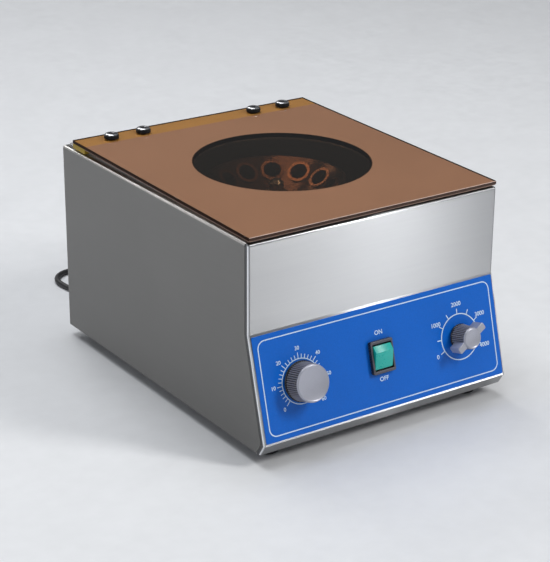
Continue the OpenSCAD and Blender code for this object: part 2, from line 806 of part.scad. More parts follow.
module switch_body() {
    color([0.1, 0.1, 0.11]) in_frame() on_panel(switch_x, switch_down, plate_t) difference() {
        union() {
            translate([-bezel_w / 2, -bezel_h / 2, 0]) cube([bezel_w, bezel_h, bezel_t - 1]);
            translate([-bezel_w / 2 + 0.8, -bezel_h / 2 + 0.8, 0])
                cube([bezel_w - 1.6, bezel_h - 1.6, bezel_t]);
            translate([-switch_body_w / 2, -switch_body_l / 2, -switch_deep])
                cube([switch_body_w, switch_body_l, switch_deep + 1]);
        }
        translate([-well_w / 2, -well_l / 2, -9]) cube([well_w, well_l, 20]);
        translate([-well_w / 2 - 0.5, 0, 0]) rotate([0, 90, 0]) cylinder(h = well_w + 1, r = 1 + run_air);
    }
}

module switch_terminals() {
    color([0.85, 0.8, 0.6]) in_frame() on_panel(switch_x, switch_down, plate_t)
        for (x = [-1, 1], y = [-1, 1])
            translate([x * 5.5 - 0.4, y * 7 - 2.4, -switch_deep - 8]) cube([0.8, 4.8, 8]);
}

// The rocker is drawn with its raised end up the panel, which is its off position
module switch_rocker() {
    l = rocker_half_l;
    color([0.12, 0.7, 0.6]) in_frame() on_panel(switch_x, switch_down, plate_t) {
        translate([-rocker_w / 2, 0, 0]) rotate([90, 0, 90]) linear_extrude(rocker_w) polygon([
            [-l, 3.6], [5, 8.2], [l, 4.4], [l - 1.2, -2], [3, -6], [-3, -6], [-l + 1.2, -2]
        ]);
        translate([-well_w / 2 - 0.4, 0, 0]) rotate([0, 90, 0]) cylinder(h = well_w + 0.8, r = 1);
    }
}

module timer_case() {
    color([0.7, 0.7, 0.72]) in_frame() on_panel(timer_x, timer_down) difference() {
        union() {
            translate([0, 0, -sheet_t - timer_deep]) cylinder(h = timer_deep, r = timer_case_r);
            translate([0, 0, -sheet_t - past]) cylinder(h = sheet_t + past + plate_t + 4.5, r = bush_r);
            for (x = [-9, 0, 9]) translate([x - 2.4, -6, -sheet_t - timer_deep - 8]) cube([4.8, 0.8, 9]);
        }
        translate([0, 0, -sheet_t - 12]) cylinder(h = 30, r = spindle_r + run_air);
    }
}

module timer_spindle() {
    color([0.8, 0.8, 0.82]) in_frame() on_panel(timer_x, timer_down, -sheet_t - 11.5)
        cylinder(h = 11.5 + sheet_t + 15.5, r = spindle_r);
}

// Ribbed outline of a knob
function ribbed(r, count, deep) = [
    for (i = [0 : 2 * count - 1]) let (a = i * 180 / count, q = i % 2 == 0 ? r : r - deep)
        [q * cos(a), q * sin(a)]
];

// A knob's skin: foot, ribbed side and bevelled front, hollow under the foot
module knob(foot_r, cap_r, ribs, hollow_r, hollow_h, bore_h) {
    side_h = knob_h - knob_foot - knob_cap_edge;
    difference() {
        union() {
            cylinder(h = 2.4, r = foot_r);
            translate([0, 0, 2]) linear_extrude(side_h - 2) polygon(ribbed(cap_r + 0.4, ribs, 0.6));
            translate([0, 0, side_h]) cylinder(h = knob_cap_edge, r1 = cap_r, r2 = cap_r - knob_cap_edge);
        }
        translate([0, 0, -past]) cylinder(h = hollow_h + past, r = hollow_r);
        translate([0, 0, -past]) cylinder(h = bore_h + past, r = spindle_r + run_air);
    }
}

module timer_knob() {
    color([0.66, 0.67, 0.7]) in_frame() on_panel(timer_x, timer_down, knob_foot)
        knob(timer_knob_r, timer_cap_r, 48, 13, 5.5, 14.2);
}

speed_zero = 210;
fin_r = 18;
fin_w = 7;

module speed_knob() {
    color([0.66, 0.67, 0.7]) in_frame() on_panel(speed_x, speed_down, knob_foot) difference() {
        union() {
            knob(speed_knob_r, speed_cap_r, 32, 8, 4, 14.2);
            rotate([0, 0, speed_zero]) translate([-fin_r, -fin_w / 2, 4.2])
                cube([2 * fin_r, fin_w, knob_h - knob_foot - 4.2 - knob_cap_edge]);
        }
        translate([0, 0, -past]) cylinder(h = 14.2 + past, r = spindle_r + run_air);
    }
}

module speed_spindle() {
    color([0.8, 0.8, 0.82]) in_frame() on_panel(speed_x, speed_down, -sheet_t - 8)
        cylinder(h = 8 + sheet_t + 15.5, r = spindle_r);
}

module speed_control() {
    color([0.35, 0.33, 0.3]) in_frame() on_panel(speed_x, speed_down) difference() {
        union() {
            translate([0, 0, -sheet_t - speed_deep]) cylinder(h = speed_deep, r = speed_case_r);
            translate([0, 0, -sheet_t - past])
                cylinder(h = sheet_t + past + plate_t + 3.6, r = speed_bush_r);
            for (x = [-5, 0, 5])
                translate([x - 1, -speed_case_r - 5, -sheet_t - 8]) cube([2, 7, 0.8]);
        }
        translate([0, 0, -sheet_t - 8.5]) cylinder(h = 30, r = spindle_r + run_air);
    }
}

module control_nuts() {
    color([0.78, 0.78, 0.8]) in_frame() {
        on_panel(timer_x, timer_down, plate_t) hex_nut(14, 2.6, bush_r + screw_air);
        on_panel(speed_x, speed_down, plate_t) hex_nut(11, 2.4, speed_bush_r + screw_air);
    }
}

module circuit_board() {
    color([0.1, 0.4, 0.22]) in_frame() difference() {
        translate([board_x - board_w / 2, board_y - board_l / 2, board_z])
            cube([board_w, board_l, 1.6]);
        board_corners() translate([0, 0, board_z - past]) cylinder(h = 4, r = m3_r + screw_air);
    }
}

module board_parts() {
    top = board_z + 1.6;
    color([0.25, 0.25, 0.28]) in_frame() {
        board_corners() difference() {
            translate([0, 0, base_t]) cylinder(h = board_z - base_t, r = 3);
            cylinder(h = board_z + past, r = m3_r + screw_air);
        }
        translate([board_x - 38, board_y - 20, top]) cube([26, 4, 24]);
        for (i = [0 : 3]) translate([board_x - 36 + i * 7, board_y - 16, top]) cube([1.5, 10, 24]);
        translate([board_x + 14, board_y - 12, top]) cylinder(h = 22, r = 8);
        translate([board_x + 34, board_y - 12, top]) cylinder(h = 18, r = 6);
        translate([board_x - 6, board_y + 6, top]) cube([22, 14, 12]);
        translate([board_x - 38, board_y + 10, top]) cube([20, 8, 9]);
        translate([speed_x - 7, board_y - 27, top]) cube([14, 6, 8]);
    }
}

block_x = -70;
block_y = body_d - 62;

module terminal_block() {
    color([0.88, 0.87, 0.82]) in_frame() translate([block_x, block_y, base_t]) difference() {
        translate([-24, -9, 0]) cube([48, 18, 15]);
        for (i = [-1.5 : 1 : 1.5]) translate([i * 11, 0, 4]) cylinder(h = 20, r = 3);
    }
}

module fuse_holder() {
    color([0.08, 0.08, 0.09]) in_frame() translate([fuse_x, body_d - sheet_t, fuse_z])
        rotate([-90, 0, 0]) {
            translate([0, 0, -30]) cylinder(h = 30, r = 6);
            cylinder(h = 3, r = fuse_cap_d / 2 + 1);
            translate([0, 0, 3]) linear_extrude(fuse_cap_h + sheet_t - 4)
                polygon(ribbed(fuse_cap_d / 2, 20, 0.5));
            translate([0, 0, fuse_cap_h + sheet_t - 1])
                cylinder(h = 1, r1 = fuse_cap_d / 2 - 0.6, r2 = fuse_cap_d / 2 - 1.4);
            translate([0, 0, -sheet_t]) mirror([0, 0, 1]) hex_nut(17, 3, 6 + screw_air);
        }
}

// A swept tube along smooth points, as rings joined by triangles
function unit(v) = v / norm(v);
function sum_to(list, i) = i < 0 ? 0 : list[i] + sum_to(list, i - 1);
function between(a, b, c, d, t) = 0.5 * (
    2 * b + (c - a) * t + (2 * a - 5 * b + 4 * c - d) * t * t + (3 * b - a - 3 * c + d) * t * t * t
);
function smooth(points, steps) = let (n = len(points)) concat(
    [for (i = [0 : n - 2], j = [0 : steps - 1]) between(
        points[max(i - 1, 0)], points[i], points[i + 1], points[min(i + 2, n - 1)], j / steps)],
    [points[n - 1]]
);
function heading(path, i) = unit(path[min(i + 1, len(path) - 1)] - path[max(i - 1, 0)]);
function tube_rings(path, r, sides, first, last) = [
    for (i = [0 : len(path) - 1]) let (
        t = i == 0 ? first : i == len(path) - 1 ? last : heading(path, i),
        side = unit(cross(t, [0, 0, 1])),
        lift = cross(side, t)
    ) for (k = [0 : sides - 1]) let (a = (k + 0.5) * 360 / sides)
        path[i] + r * (cos(a) * side + sin(a) * lift)
];
function tube_faces(rings, sides) = concat(
    [for (i = [0 : rings - 2], k = [0 : sides - 1]) let (m = (k + 1) % sides)
        [i * sides + k, (i + 1) * sides + k, (i + 1) * sides + m]],
    [for (i = [0 : rings - 2], k = [0 : sides - 1]) let (m = (k + 1) % sides)
        [i * sides + k, (i + 1) * sides + m, i * sides + m]],
    [for (k = [1 : sides - 2]) [0, k, k + 1]],
    [for (k = [1 : sides - 2]) let (z = (rings - 1) * sides) [z, z + k + 1, z + k]]
);
module tube(path, r, sides, first, last) {
    polyhedron(tube_rings(path, r, sides, first, last), tube_faces(len(path), sides));
}
module wire(points, r, first, last) {
    tube(smooth(points, 3), r, 6, first, last);
}

// Where a point of the slanted panel lies in the housing: X, Y up the panel, Z out of it
function panel_point(x, down, up, out) = let (c = cos(panel_tilt), s = sin(panel_tilt))
    [x, -out * c - (down - up) * s, break_h + out * s - (down - up) * c];

// Cables between the strain relief, the terminals, the panel, the board and the motor
module wiring() {
    reach = 0.1;
    wire_h = base_t + 7;
    low = base_t + 3;
    board_top = board_z + 1.6;
    block_side = block_y - 9 - reach;
    timer_end = panel_point(timer_x, timer_down, -5.6, -sheet_t - timer_deep - 8 - reach);
    switch_end = panel_point(switch_x + 5.5, switch_down, -7, plate_t - switch_deep - 8 - reach);
    speed_end = panel_point(speed_x, speed_down, -speed_case_r - 5 - reach, -sheet_t - 7.6);
    inward = [0, cos(panel_tilt), -sin(panel_tilt)];
    downward = [0, -sin(panel_tilt), -cos(panel_tilt)];
    motor_way = [0.6, -0.8, 0];
    motor_end = [0, chamber_y, motor_foot + 34] + (motor_r + reach) * motor_way;
    motor_turn_z = motor_foot + 16;
    board_turn_z = board_top + max(5, (motor_turn_z - board_top) / 8);
    color([0.2, 0.2, 0.22]) in_frame() {
        wire([[gland_x, body_d - 8 - reach, gland_z], [gland_x, body_d - 18, gland_z],
            [gland_x, body_d - 30, gland_z - 5], [gland_x, body_d - 42, wire_h + 1],
            [gland_x, block_y + 9 + reach, wire_h]], 2.6, [0, -1, 0], [0, -1, 0]);
        wire([[block_x - 16, block_side, wire_h], [block_x - 17, block_side - 12, low + 1],
            [-104, block_side - 65.9, low], [-106, 120, low], [-101, 70, low + 6],
            timer_end + 12 * inward, timer_end], 2.2, [0, -1, 0], -inward);
        wire([[fuse_x, body_d - sheet_t - 30 - reach, fuse_z], [fuse_x, body_d - 42, fuse_z - 2],
            [fuse_x - 8, block_y + 2, wire_h + 2], [block_x + 24 + reach, block_y, wire_h]],
            1.6, [0, -1, 0], [-1, 0, 0]);
        wire([switch_end, switch_end + 12 * inward, [12, board_y + 8, board_top + 8],
            [board_x - 46, board_y + 14, board_top + 4],
            [board_x - 38 - reach, board_y + 14, board_top + 4]], 2, inward, [1, 0, 0]);
        wire([[board_x + 5, board_y + 20 + reach, board_top + 4],
            [board_x + 3, board_y + 31, board_turn_z], [48, chamber_y - 66, motor_turn_z],
            motor_end + 6 * motor_way, motor_end], 2, [0, 1, 0], -motor_way);
        wire([speed_end, speed_end + 6 * downward, [speed_x, 10, board_top + 8],
            [speed_x, board_y - 34, board_top + 4], [speed_x, board_y - 27 - reach, board_top + 4]],
            1.6, downward, [0, 1, 0]);
    }
}

module hinge_screw_holes() {
    for (side = [-1, 1], s = [-1, 1])
        translate([side * hinge_x + s * hinge_pitch / 2, hinge_screw_y, body_h - 3])
            cylinder(h = 6, r = m4_r + screw_air);
}

// The knuckles with an even or odd number along the pin
module knuckles(odd) {
    step = hinge_l / 5;
    for (i = odd ? [0, 2, 4] : [1, 3]) translate([-hinge_l / 2 + i * step + 0.2, 0, 0])
        rotate([0, 90, 0]) cylinder(h = step - 0.4, r = knuckle_d / 2);
}

// Keeps what lies within the same knuckles' stretches, out of the other leaf's way
module knuckle_slots(odd) {
    step = hinge_l / 5;
    for (i = odd ? [1, 3] : [0, 2, 4])
        translate([-hinge_l / 2 + i * step - (i == 0 ? past : 0), -knuckle_d / 2 - 0.4, -5])
            cube([step + (i == 0 || i == 4 ? past : 0), knuckle_d + 0.8, 10]);
}

module hinge_bore() {
    translate([-hinge_l, 0, 0]) rotate([0, 90, 0]) cylinder(h = 2 * hinge_l, r = pin_d / 2 + run_air);
}

module hinge_places() {
    for (side = [-1, 1]) translate([side * hinge_x, 0, 0]) children();
}

module hinge_fixed_leaves() {
    drop = deck_top - hinge_z;
    color([0.74, 0.74, 0.76]) in_frame() hinge_places() difference() {
        translate([0, hinge_y, hinge_z]) union() {
            difference() {
                translate([-hinge_l / 2, 0, drop]) cube([hinge_l, hinge_leaf_deep, leaf_t]);
                knuckle_slots(true);
            }
            knuckles(true);
        }
        translate([0, hinge_y, hinge_z]) hinge_bore();
        for (s = [-1, 1]) translate([s * hinge_pitch / 2, hinge_screw_y, body_h])
            cylinder(h = 6, r = m4_r + screw_air);
    }
}

module hinge_screws() {
    color([0.78, 0.78, 0.8]) in_frame() {
        for (side = [-1, 1], s = [-1, 1])
            translate([side * hinge_x + s * hinge_pitch / 2, hinge_screw_y, 0]) {
                translate([0, 0, deck_top + leaf_t]) pan_screw(3.8, 2.2, m4_r, 8.5);
                translate([0, 0, body_h - sheet_t - 3.2]) hex_nut(7, 3.2, m4_r + screw_air);
            }
        hinge_places() translate([-hinge_l / 2, hinge_y, hinge_z])
            rotate([0, 90, 0]) cylinder(h = hinge_l, r = pin_d / 2);
    }
}

// The pin's place in the lid's own measure
function lid_measure(y, z) = let (dy = y - lid_back_y, dz = z - body_h - lid_gap_rear) [
    dy * cos(lid_slope) + dz * sin(lid_slope), -dy * sin(lid_slope) + dz * cos(lid_slope)
];
pin_place = lid_measure(hinge_y, hinge_z);
leaf_in = 22;

module hinge_lid_leaves() {
    color([0.74, 0.74, 0.76]) in_frame() on_lid() hinge_places() difference() {
        union() {
            difference() {
                translate([-hinge_l / 2, -leaf_in, backing_t - leaf_t])
                    cube([hinge_l, leaf_in + pin_place[0], leaf_t]);
                translate([0, pin_place[0], pin_place[1]]) knuckle_slots(false);
            }
            translate([0, pin_place[0], pin_place[1]]) knuckles(false);
        }
        translate([0, pin_place[0], pin_place[1]]) hinge_bore();
        for (s = [-1, 1]) translate([s * hinge_pitch / 2, -lid_screw_in, -4])
            cylinder(h = 8, r = lid_screw_d / 2 + screw_air);
    }
}

module lid_screw_places() {
    for (side = [-1, 1], s = [-1, 1])
        translate([side * hinge_x + s * hinge_pitch / 2, -lid_screw_in, 0]) children();
}

module lid_plate() {
    color([0.72, 0.48, 0.22, 0.6]) in_frame() on_lid() difference() {
        translate([-lid_w / 2, -lid_l, backing_t]) cube([lid_w, lid_l, lid_t]);
        lid_screw_places() translate([0, 0, -past]) cylinder(h = 8, r = lid_screw_d / 2 + screw_air);
    }
}

module lid_backing() {
    window_y = chamber_y - lid_back_y;
    color([0.5, 0.36, 0.27]) in_frame() on_lid() difference() {
        translate([-lid_w / 2 + 0.6, -lid_l + 0.6, 0])
            cube([lid_w - 1.2, lid_l - 0.6 - strip_w, backing_t]);
        translate([0, window_y, -past]) cylinder(h = 4, r = window_d / 2);
    }
}

module hinge_rail() {
    color([0.72, 0.6, 0.3]) in_frame() on_lid() difference() {
        translate([-lid_w / 2 + 0.6, -strip_w + 0.2, backing_t - rail_h])
            cube([lid_w - 1.2, strip_w - 0.2, rail_h]);
        hinge_places() translate([-hinge_l / 2 - 0.2, -leaf_in - 0.2, backing_t - leaf_t])
            cube([hinge_l + 0.4, leaf_in + past, leaf_t + past]);
        lid_screw_places() translate([0, 0, -rail_h + 1.4])
            cylinder(h = rail_h, r = lid_screw_d / 2 + screw_air);
    }
}

module lid_screws() {
    washer_t = 1.2;
    shank = washer_t + lid_full_t + rail_h - 2.6;
    color([0.8, 0.8, 0.83]) in_frame() on_lid() lid_screw_places()
        translate([0, 0, lid_full_t]) {
            ring(lid_screw_head / 2 + 0.7, lid_screw_d / 2 + screw_air, washer_t);
            translate([0, 0, washer_t]) {
                difference() {
                    union() {
                        cylinder(h = lid_screw_h * 0.45, r = lid_screw_head / 2);
                        translate([0, 0, lid_screw_h * 0.45]) cylinder(
                            h = lid_screw_h * 0.55, r1 = lid_screw_head / 2, r2 = lid_screw_head * 0.3);
                    }
                    translate([0, 0, lid_screw_h - 2]) cylinder(h = 4, r = 2, $fn = 6);
                }
                translate([0, 0, -shank]) cylinder(h = shank, r = lid_screw_d / 2);
            }
        }
}

module motor_shaft() {
    foot = motor_foot - bell_t - bearing_h - 3;
    color([0.75, 0.75, 0.77]) in_frame() at_chamber() {
        translate([0, 0, foot]) cylinder(h = hub_top_z - foot, r = shaft_r);
        translate([0, 0, hub_foot_z - 4]) cylinder(h = 4, r = shaft_r + 4);
        translate([0, 0, hub_top_z]) cylinder(h = 14, r = m8_r);
    }
}

module armature() {
    bore = shaft_r + run_air;
    color([0.5, 0.42, 0.34]) in_frame() at_chamber() {
        translate([0, 0, core_z]) difference() {
            ring(armature_r, bore, core_h);
            around(12) translate([armature_r - 1.5, 0, -past]) cylinder(h = core_h + 2, r = 2);
        }
        translate([0, 0, core_z + core_h]) ring(armature_r - 3, bore, winding_h);
        translate([0, 0, core_z - winding_h]) ring(armature_r - 3, bore, winding_h);
        translate([0, 0, motor_foot + 1]) ring(commutator_r, bore, 11);
    }
}

module cooling_fan() {
    fan_z = core_z + core_h + 7;
    color([0.12, 0.12, 0.13]) in_frame() at_chamber(fan_z) {
        ring(10, shaft_r + run_air, 7.5);
        ring(armature_r + 12, 9, 1.2);
        around(9) translate([9, -0.8, 0]) cube([armature_r + 2, 1.6, 7]);
    }
}

// Points of the rotor's wall, in radius and height, measured along and across a tube's axis
function tube_point(across, along) = [
    mouth_r + across * cos(tube_tilt) + along * sin(tube_tilt),
    mouth_z + across * sin(tube_tilt) - along * cos(tube_tilt)
];
lip_w = 3;
function skirt_at(r, across) = let (start = tube_point(across, 0))
    [r, start[1] - (r - start[0]) / tan(tube_tilt)];
under_floor = dish_floor_z - dish_t;
function under_dish(z) = let (start = tube_point(0, dish_t))
    [start[0] + (z - start[1]) / tan(tube_tilt), z];

module rotor() {
    bore = shaft_r + run_air;
    color([0.34, 0.34, 0.36]) in_frame() at_chamber() difference() {
        rotate_extrude() polygon([
            [bore, hub_top_z], [hub_r, hub_top_z], [hub_r, dish_floor_z],
            [dish_floor_r, dish_floor_z], [rim_r, rim_z], [rim_r + lip_w, rim_z],
            skirt_at(rim_r + lip_w, skirt_out), tube_point(skirt_out, sleeve_l),
            tube_point(skirt_in, sleeve_l), tube_point(skirt_in, dish_t),
            under_dish(under_floor), [hub_r, under_floor], [hub_r, hub_foot_z],
            [bore, hub_foot_z]
        ]);
        around(tube_count, 90) translate([mouth_r, 0, mouth_z]) rotate([0, -tube_tilt, 0]) {
            translate([0, 0, -dish_t - 2]) cylinder(h = dish_t + 4, r = sleeve_hole_r);
            cylinder(h = 4, r = collar_r + screw_air);
        }
    }
}

module rotor_nut() {
    color([0.7, 0.7, 0.73]) in_frame() at_chamber(hub_top_z) {
        ring(11, m8_r + screw_air, 1.6);
        translate([0, 0, 1.6]) difference() {
            union() {
                cylinder(h = 3, r = 10);
                translate([0, 0, 3]) cylinder(h = 8, r = 8, $fn = 6);
                translate([0, 0, 11]) cylinder(h = 3, r1 = 6.4, r2 = 4);
            }
            translate([0, 0, -past]) cylinder(h = 14, r = m8_r + screw_air);
        }
    }
}

module tube_sleeves() {
    color([0.16, 0.16, 0.18]) in_frame() at_chamber() around(tube_count, 90)
        translate([mouth_r, 0, mouth_z]) rotate([0, -tube_tilt, 0]) difference() {
            union() {
                cylinder(h = collar_t, r = collar_r);
                translate([0, 0, -sleeve_l]) cylinder(h = sleeve_l + 0.5, r = sleeve_r);
            }
            translate([0, 0, -sleeve_l + 2.5])
                cylinder(h = sleeve_l + 4, r = sleeve_r - sleeve_wall);
        }
}

module strain_relief() {
    bore = lead_r + 0.1;
    color([0.06, 0.06, 0.06]) in_frame() translate([gland_x, body_d, gland_z])
        rotate([-90, 0, 0]) rotate_extrude() polygon([
            [bore, -8], [6, -8], [6, -sheet_t], [9, -sheet_t], [9, 2], [7.2, 4], [4.6, gland_l - 1],
            [lead_r + 1, gland_l], [bore, gland_l]
        ]);
}

module lead() {
    color([0.06, 0.06, 0.06]) on_table() {
        tube(smooth(lead_points, 2), lead_r, lead_sides, [0, 1, 0], [1, 0, 0]);
        tube(smooth(tail_points, 2), lead_r, lead_sides, [1, 0, 0], [1, 0, 0]);
    }
}

// The coil winds in along the table and out again on top of itself
function climb(t) = t < -0.25 ? 0 : t > 0.25 ? 1 : (1 + sin(t * 360)) / 2;
function coil_point(t) = let (
    r = coil_in + coil_pitch * abs(coil_turns - t),
    a = 90 - 360 * t
) [
    coil_center[0] + r * cos(a), coil_center[1] + r * sin(a),
    coil_z + coil_layer * climb(t - coil_turns)
];
coil_path = [for (i = [0 : 2 * coil_turns * coil_rings]) coil_point(i / coil_rings)];

module lead_coil() {
    color([0.06, 0.06, 0.06]) on_table() tube(coil_path, lead_r, coil_sides, [1, 0, 0], [1, 0, 0]);
}

// Least gap of the coil to itself, from points half a turn or more apart along it
coil_gap = min([
    for (i = [0 : len(coil_path) - 1], j = [i + coil_rings / 2 : 1 : len(coil_path) - 1])
        norm(coil_path[i] - coil_path[j])
]) - lead_d;
echo(coil_gap = coil_gap);

module coil_tie() {
    inner = coil_in + coil_pitch / 2 - lead_r - 0.7;
    outer = coil_out - coil_pitch / 2 + lead_r + 0.3;
    high = coil_z + coil_layer + lead_r + 0.3 + tie_t;
    color([0.1, 0.1, 0.1]) on_table() translate([coil_center[0] - tie_w / 2, coil_center[1], 0])
        difference() {
            translate([0, -outer - tie_t, 0]) cube([tie_w, outer - inner + 2 * tie_t, high]);
            translate([-past, -outer, tie_t])
                cube([tie_w + 2 * past, outer - inner, high - 2 * tie_t]);
        }
}

module plug_body() {
    color([0.07, 0.07, 0.07]) on_table() translate(plug_place) rotate([0, 90, 0]) {
        cylinder(h = 14, r1 = lead_r + 1.2, r2 = 8);
        translate([-plug_h / 2, -plug_w / 2, 14]) cube([plug_h, plug_w, plug_l - 14]);
    }
}

module plug_pins() {
    color([0.8, 0.7, 0.45]) on_table() translate(plug_place)
        for (a = [0, 120, 240]) rotate([a, 0, 0]) translate([plug_l, -0.8, 4.5]) cube([pin_l, 1.6, 5]);
}

left_side_panel();
right_side_panel();
front_panel();
rear_panel();
base_plate();
top_deck();
feet();
foot_screws();
base_screws();
rear_screws();
control_plate();
mouth_trim();
chamber_bowl();
shaft_seal();
pillars();
rubber_isolators();
isolator_studs();
motor_plate();
motor_shell();
motor_end_bells();
tie_bolts();
stator_core();
field_coils();
ball_bearings();
brush_holders();
carbon_brushes();
switch_body();
switch_terminals();
switch_rocker();
timer_case();
timer_knob();
timer_spindle();
speed_control();
control_nuts();
speed_knob();
speed_spindle();
circuit_board();
board_parts();
terminal_block();
fuse_holder();
wiring();
hinge_fixed_leaves();
hinge_lid_leaves();
hinge_screws();
lid_plate();
lid_backing();
hinge_rail();
lid_screws();
motor_shaft();
armature();
cooling_fan();
rotor();
rotor_nut();
tube_sleeves();
strain_relief();
lead();
lead_coil();
coil_tie();
plug_body();
plug_pins();
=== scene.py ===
"""The looks of a benchtop angle-rotor centrifuge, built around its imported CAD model.

Meshes are drawn in millimetres, in the measure of what carries them, and a place matrix
brings them into the frame's metres.
"""

import math

import bmesh
import bpy
from mathutils import Matrix, Vector


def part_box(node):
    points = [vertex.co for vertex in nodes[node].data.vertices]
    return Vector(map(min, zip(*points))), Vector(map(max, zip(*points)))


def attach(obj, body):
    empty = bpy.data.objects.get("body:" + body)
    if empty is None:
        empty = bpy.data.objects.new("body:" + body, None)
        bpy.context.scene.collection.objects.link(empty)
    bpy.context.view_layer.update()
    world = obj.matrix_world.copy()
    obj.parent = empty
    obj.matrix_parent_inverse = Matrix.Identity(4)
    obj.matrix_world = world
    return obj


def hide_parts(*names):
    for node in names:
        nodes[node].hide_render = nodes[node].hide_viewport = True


MM = 0.001
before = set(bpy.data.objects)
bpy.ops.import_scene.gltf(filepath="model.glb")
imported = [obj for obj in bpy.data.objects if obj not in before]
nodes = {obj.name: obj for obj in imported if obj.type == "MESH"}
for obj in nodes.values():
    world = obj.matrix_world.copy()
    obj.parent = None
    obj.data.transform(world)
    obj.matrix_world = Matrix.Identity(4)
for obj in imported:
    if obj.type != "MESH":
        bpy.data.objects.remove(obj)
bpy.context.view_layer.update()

# Driving sizes of part.scad that the pieces below share, in millimetres
BODY_D = 337
BODY_H = 194
BEND_R = 2.6
BREAK_H = 108.7
PANEL_REACH = 26.3
PANEL_FOOT = 10.5
LID_REAR = 20.6
LID_OVER = 0.7
LID_T = 3.4
BACKING_T = 0.6
LID_GAP_FRONT = 2.2
LID_GAP_REAR = 6.3
HINGE_X = 84.5
HINGE_PITCH = 36.5
LID_SCREW_IN = 14.4
CHAMBER_Y = 162
PLATE_T = 0.6
PLATE_SIDE = 3
PLATE_TOP = 2.2
PLATE_FOOT = 1.9
TIMER = (-91.7, 52.1)
SWITCH = (-2.6, 49.9)
SPEED = (91, 53.1)
KNOB_FOOT = PLATE_T + 1
LEAD_R = 3
GLAND = (-70, 26)
GLAND_L = 35
FOOT_MM = 12

side_low, side_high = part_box("left_side_panel")
half_w = -side_low.x / MM
front_y = side_high.y - BODY_D * MM
panel_tilt = math.atan2(PANEL_REACH, BREAK_H - PANEL_FOOT)
panel_l = math.hypot(PANEL_REACH, BREAK_H - PANEL_FOOT)
lid_w = 2 * half_w - 2
lid_l = BODY_D - LID_REAR + LID_OVER
lid_slope = math.atan2(LID_GAP_REAR - LID_GAP_FRONT, lid_l)


# Places

def in_housing(x=0, y=0, z=0):
    """The matrix from the housing's measure to the frame, moved to x, y, z."""
    low = Matrix.Translation((0, front_y, side_low.z))
    return low @ Matrix.Scale(MM, 4) @ Matrix.Translation((x, y, z))


def on_panel(x, down, lift=0):
    """On the slanted panel, down from the bend at its top: X right, Y up the panel, Z out of it."""
    return (
        in_housing(0, 0, BREAK_H)
        @ Matrix.Rotation(-panel_tilt, 4, "X")
        @ Matrix.Translation((x, -lift, -down))
        @ Matrix.Rotation(math.radians(90), 4, "X")
    )


def on_lid(x=0, y=0, z=0):
    """On the closed lid: Y back from its rear edge, Z up from its underside."""
    return (
        in_housing(0, BODY_D - LID_REAR, BODY_H + LID_GAP_REAR)
        @ Matrix.Rotation(lid_slope, 4, "X")
        @ Matrix.Translation((x, y, z))
    )


def on_table(x, y, z):
    """A point measured from the back of the housing and from the table."""
    return Vector((x * MM, side_high.y + y * MM, z * MM))


# Camera, from a fit of the housing's edges in the photograph

CAMERA_PLACE = Vector((-0.93564, -1.36246, 0.75783))
CAMERA_TURN = math.radians(-34.403)
CAMERA_RISE = math.radians(22.082)
CAMERA_ROLL = math.radians(0.373)
FOCAL_PX = 1805.94
PHOTO_H = 562
PHOTO_MIDDLE_PX = (275, 281)
AXIS_PX = (277.5, 283)
SENSOR = 36
CLIP_END = 200


def make_camera():
    back = Vector((
        math.sin(CAMERA_TURN) * math.cos(CAMERA_RISE),
        -math.cos(CAMERA_TURN) * math.cos(CAMERA_RISE),
        math.sin(CAMERA_RISE),
    ))
    level = Vector((math.cos(CAMERA_TURN), math.sin(CAMERA_TURN), 0))
    upright = back.cross(level)
    right = math.cos(CAMERA_ROLL) * level + math.sin(CAMERA_ROLL) * upright
    up = math.cos(CAMERA_ROLL) * upright - math.sin(CAMERA_ROLL) * level
    data = bpy.data.cameras.new("camera")
    data.sensor_width = SENSOR
    data.lens = FOCAL_PX * SENSOR / PHOTO_H
    data.shift_x = (PHOTO_MIDDLE_PX[0] - AXIS_PX[0]) / PHOTO_H
    data.shift_y = (AXIS_PX[1] - PHOTO_MIDDLE_PX[1]) / PHOTO_H
    data.clip_end = CLIP_END
    camera = bpy.data.objects.new("camera", data)
    turn = Matrix((right, up, back)).transposed()
    camera.matrix_world = Matrix.Translation(CAMERA_PLACE) @ turn.to_4x4()
    bpy.context.scene.collection.objects.link(camera)
    bpy.context.scene.camera = camera


make_camera()


# Node materials

def srgb(red, green, blue):
    """Linear colour from the 0 to 255 values of a screen."""
    def linear(value):
        v = value / 255
        return v / 12.92 if v <= 0.04045 else ((v + 0.055) / 1.055) ** 2.4
    return (linear(red), linear(green), linear(blue))


def scaled(colour, factor):
    return tuple(min(1.0, c * factor) for c in colour)


